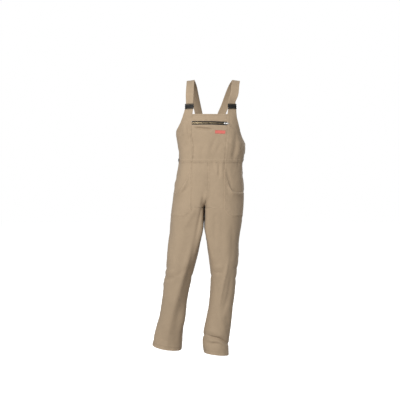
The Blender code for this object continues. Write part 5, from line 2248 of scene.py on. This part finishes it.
# ---- the whole garment
@dataclass
class Overalls:
    """The garment: builds its sub-assemblies in order and mounts each of them."""

    finishes: Finishes

    def dress(self, panel: Panel, node: str) -> list[Row]:
        """Build a panel of work cloth, mount it and return its rows of stitches."""
        mount(panel.build(), self.finishes.cloth, "work_cloth", node)
        return panel.stitches()

    def sew(self, name: str, seed: int, rows: list[Row]) -> None:
        """Make rows of stitches and mount them."""
        mount(Stitching(name, seed, rows).build(), self.finishes.thread, "work_cloth")

    def build_bib(self) -> None:
        """Middle of the bib with its label and zip."""
        bib = Bib()
        rows = self.dress(bib.front(), "bib_front") + self.dress(bib.band(), "bib_top_band")
        label = bib.label()
        mount(label.build(), self.finishes.label, "label_weave", "label")
        self.sew("bib_stitching", 3, rows + label.stitches())
        fastener = ZipFastener(bib)
        tapes = mount(fastener.tapes().build(), self.finishes.tape, "zip_tape", "zip_tape")
        mount(fastener.teeth(), self.finishes.teeth, "zip_metal")
        mount(fastener.slider(), self.finishes.slider, "zip_metal", "zip_slider")
        mount(fastener.pull_tab(), self.finishes.slider, "zip_metal", "zip_pull_tab", body="pull_tab")

    def build_sides(self) -> None:
        """Side panels and the upper back."""
        rows = []
        for label, side in SIDES:
            panel = SidePanel(label, side, ARMHOLES[side], tab_place(side)).panel()
            rows += self.dress(panel, f"bib_side_{label}")
        back_rows = self.dress(UpperBack().panel(), "upper_back")
        self.sew("side_stitching", 7, rows)
        self.sew("back_stitching", 9, back_rows)

    def build_straps(self) -> None:
        """Straps and buckles."""
        rows = []
        for label, side in SIDES:
            rows += self.dress(Strap(label, side, tab_place(side)).panel(), f"strap_{label}")
            buckle = Buckle(label, tab_place(side))
            mount(buckle.socket(), self.finishes.buckle, "buckle_plastic", f"buckle_socket_{label}")
            mount(buckle.insert(), self.finishes.buckle, "buckle_plastic", f"buckle_insert_{label}")
        self.sew("strap_stitching", 13, rows)

    def build_buttons(self) -> None:
        """Side buttons and the thread that holds them."""
        rows = []
        for label, side in SIDES:
            button = SideButton(label, side)
            mount(button.build(), self.finishes.button, "button_plastic", f"side_button_{label}")
            rows += button.thread_rows()
        self.sew("button_thread", 15, rows)

    def build_legs(self) -> None:
        """Trouser legs and pockets."""
        for label, side in SIDES:
            leg = Leg(label, side, close=LEFT_STACK if side > 0 else None)
            rows = self.dress(leg.front(), f"front_leg_{label}") + self.dress(leg.back(), f"back_leg_{label}")
            rows += self.dress(leg.pocket(), f"pocket_{label}")
            self.sew(f"leg_stitching_{label}", 17 + side, rows)

    def build(self) -> None:
        """Build every sub-assembly."""
        self.build_bib()
        self.build_sides()
        self.build_straps()
        self.build_buttons()
        self.build_legs()


# ---- studio
WHITE = (1.0, 1.0, 1.0, 1.0)


class Lamp(NamedTuple):
    """A lamp's name, place, power in watts and width."""

    name: str
    at: tuple[float, float, float]
    power: float
    size: float


@dataclass(frozen=True)
class Studio:
    """Plain white studio: a pale floor, even light all round, and broad soft lights in front and behind."""

    floor_z: float = -1.552
    floor_radius: float = 14.0
    lamps: tuple[Lamp, ...] = (Lamp("key", (-1.45, -3.5, 0.95), 146.0, 1.9),
                               Lamp("back", (1.9, 3.2, 0.9), 90.0, 2.6))
    lit: tuple[float, float, float] = (-0.05, 0.0, -0.6)
    around: float = 0.44
    camera_at: tuple[float, float, float] = (-0.0726, -5.0, -0.48)
    pitch: float = -1.87
    lens: float = 83.34

    def world(self) -> None:
        """Background: white to the camera and dimmer as light."""
        world = bpy.data.worlds.new("studio")
        nodes = Nodes(world)
        light, seen = (nodes.add("ShaderNodeBackground", {}, {"Color": WHITE, "Strength": strength})
                       for strength in (self.around, 1.0))
        nodes.by_ray(light.outputs[0], seen.outputs[0], "World Output")
        bpy.context.scene.world = world

    def light(self, lamp: Lamp) -> None:
        """Set up a round soft light, aimed at the middle of the garment.

        Args:
            lamp: The light.
        """
        light = bpy.data.lights.new(lamp.name, "AREA")
        light.shape = "DISK"
        light.size = lamp.size
        light.energy = lamp.power
        light.color = (1.0, 0.992, 0.975)
        aim = (Vector(lamp.at) - Vector(self.lit)).to_track_quat("Z", "Y").to_euler()
        put(lamp.name, light, lamp.at, aim)

    def floor(self) -> None:
        """Round pale floor, as bright as the background to the camera and dimmer as light."""
        angle = np.arange(96) * 2.0 * math.pi / 96
        radius = np.array([0.5, 1.5, 4.0, self.floor_radius])
        rings = np.stack([radius[:, None] * np.cos(angle), radius[:, None] * np.sin(angle),
                          np.full((4, 96), self.floor_z)], axis=-1)
        surface = Surface()
        surface.add(rings, quads(4, 96, flip=True, wrap_columns=True), np.arange(96)[None])
        piece = surface.finish("floor")
        nodes = material_nodes("pale floor")
        drift = nodes.noise(nodes.place(), 1.3, 2.0)
        shader = nodes.tree.nodes["Principled BSDF"]
        nodes.join(shader, {
            "Base Color": nodes.blend((drift * 0.4 + 0.5).share(), (0.84, 0.84, 0.84), (0.88, 0.88, 0.88)),
            "Roughness": (drift * 0.05 + 0.9).share(), "Emission Color": WHITE, "Emission Strength": 0.63})
        plain = nodes.add("ShaderNodeBsdfDiffuse", {}, {"Color": (0.42, 0.4, 0.38, 1.0)})
        nodes.by_ray(plain.outputs[0], shader.outputs[0], "Material Output")
        piece.data.materials.append(nodes.holder)

    def camera(self) -> None:
        """Camera at chest height, looking a little down."""
        eye = bpy.data.cameras.new("camera")
        eye.lens = self.lens
        eye.sensor_width = 36.0
        eye.clip_end = 60.0
        turn = (math.radians(90.0 + self.pitch), 0.0, 0.0)
        bpy.context.scene.camera = put("camera", eye, self.camera_at, turn)

    def build(self) -> None:
        """Set up the studio."""
        self.world()
        for lamp in self.lamps:
            self.light(lamp)
        self.floor()
        self.camera()
        bpy.context.scene.view_settings.view_transform = "Standard"


def main() -> None:
    """Load the frame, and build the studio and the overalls."""
    logging.basicConfig(level=logging.INFO, format="%(name)s: %(message)s", stream=sys.stdout)
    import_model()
    Studio().build()
    Overalls(Finishes()).build()


if __name__ == "__main__":
    main()
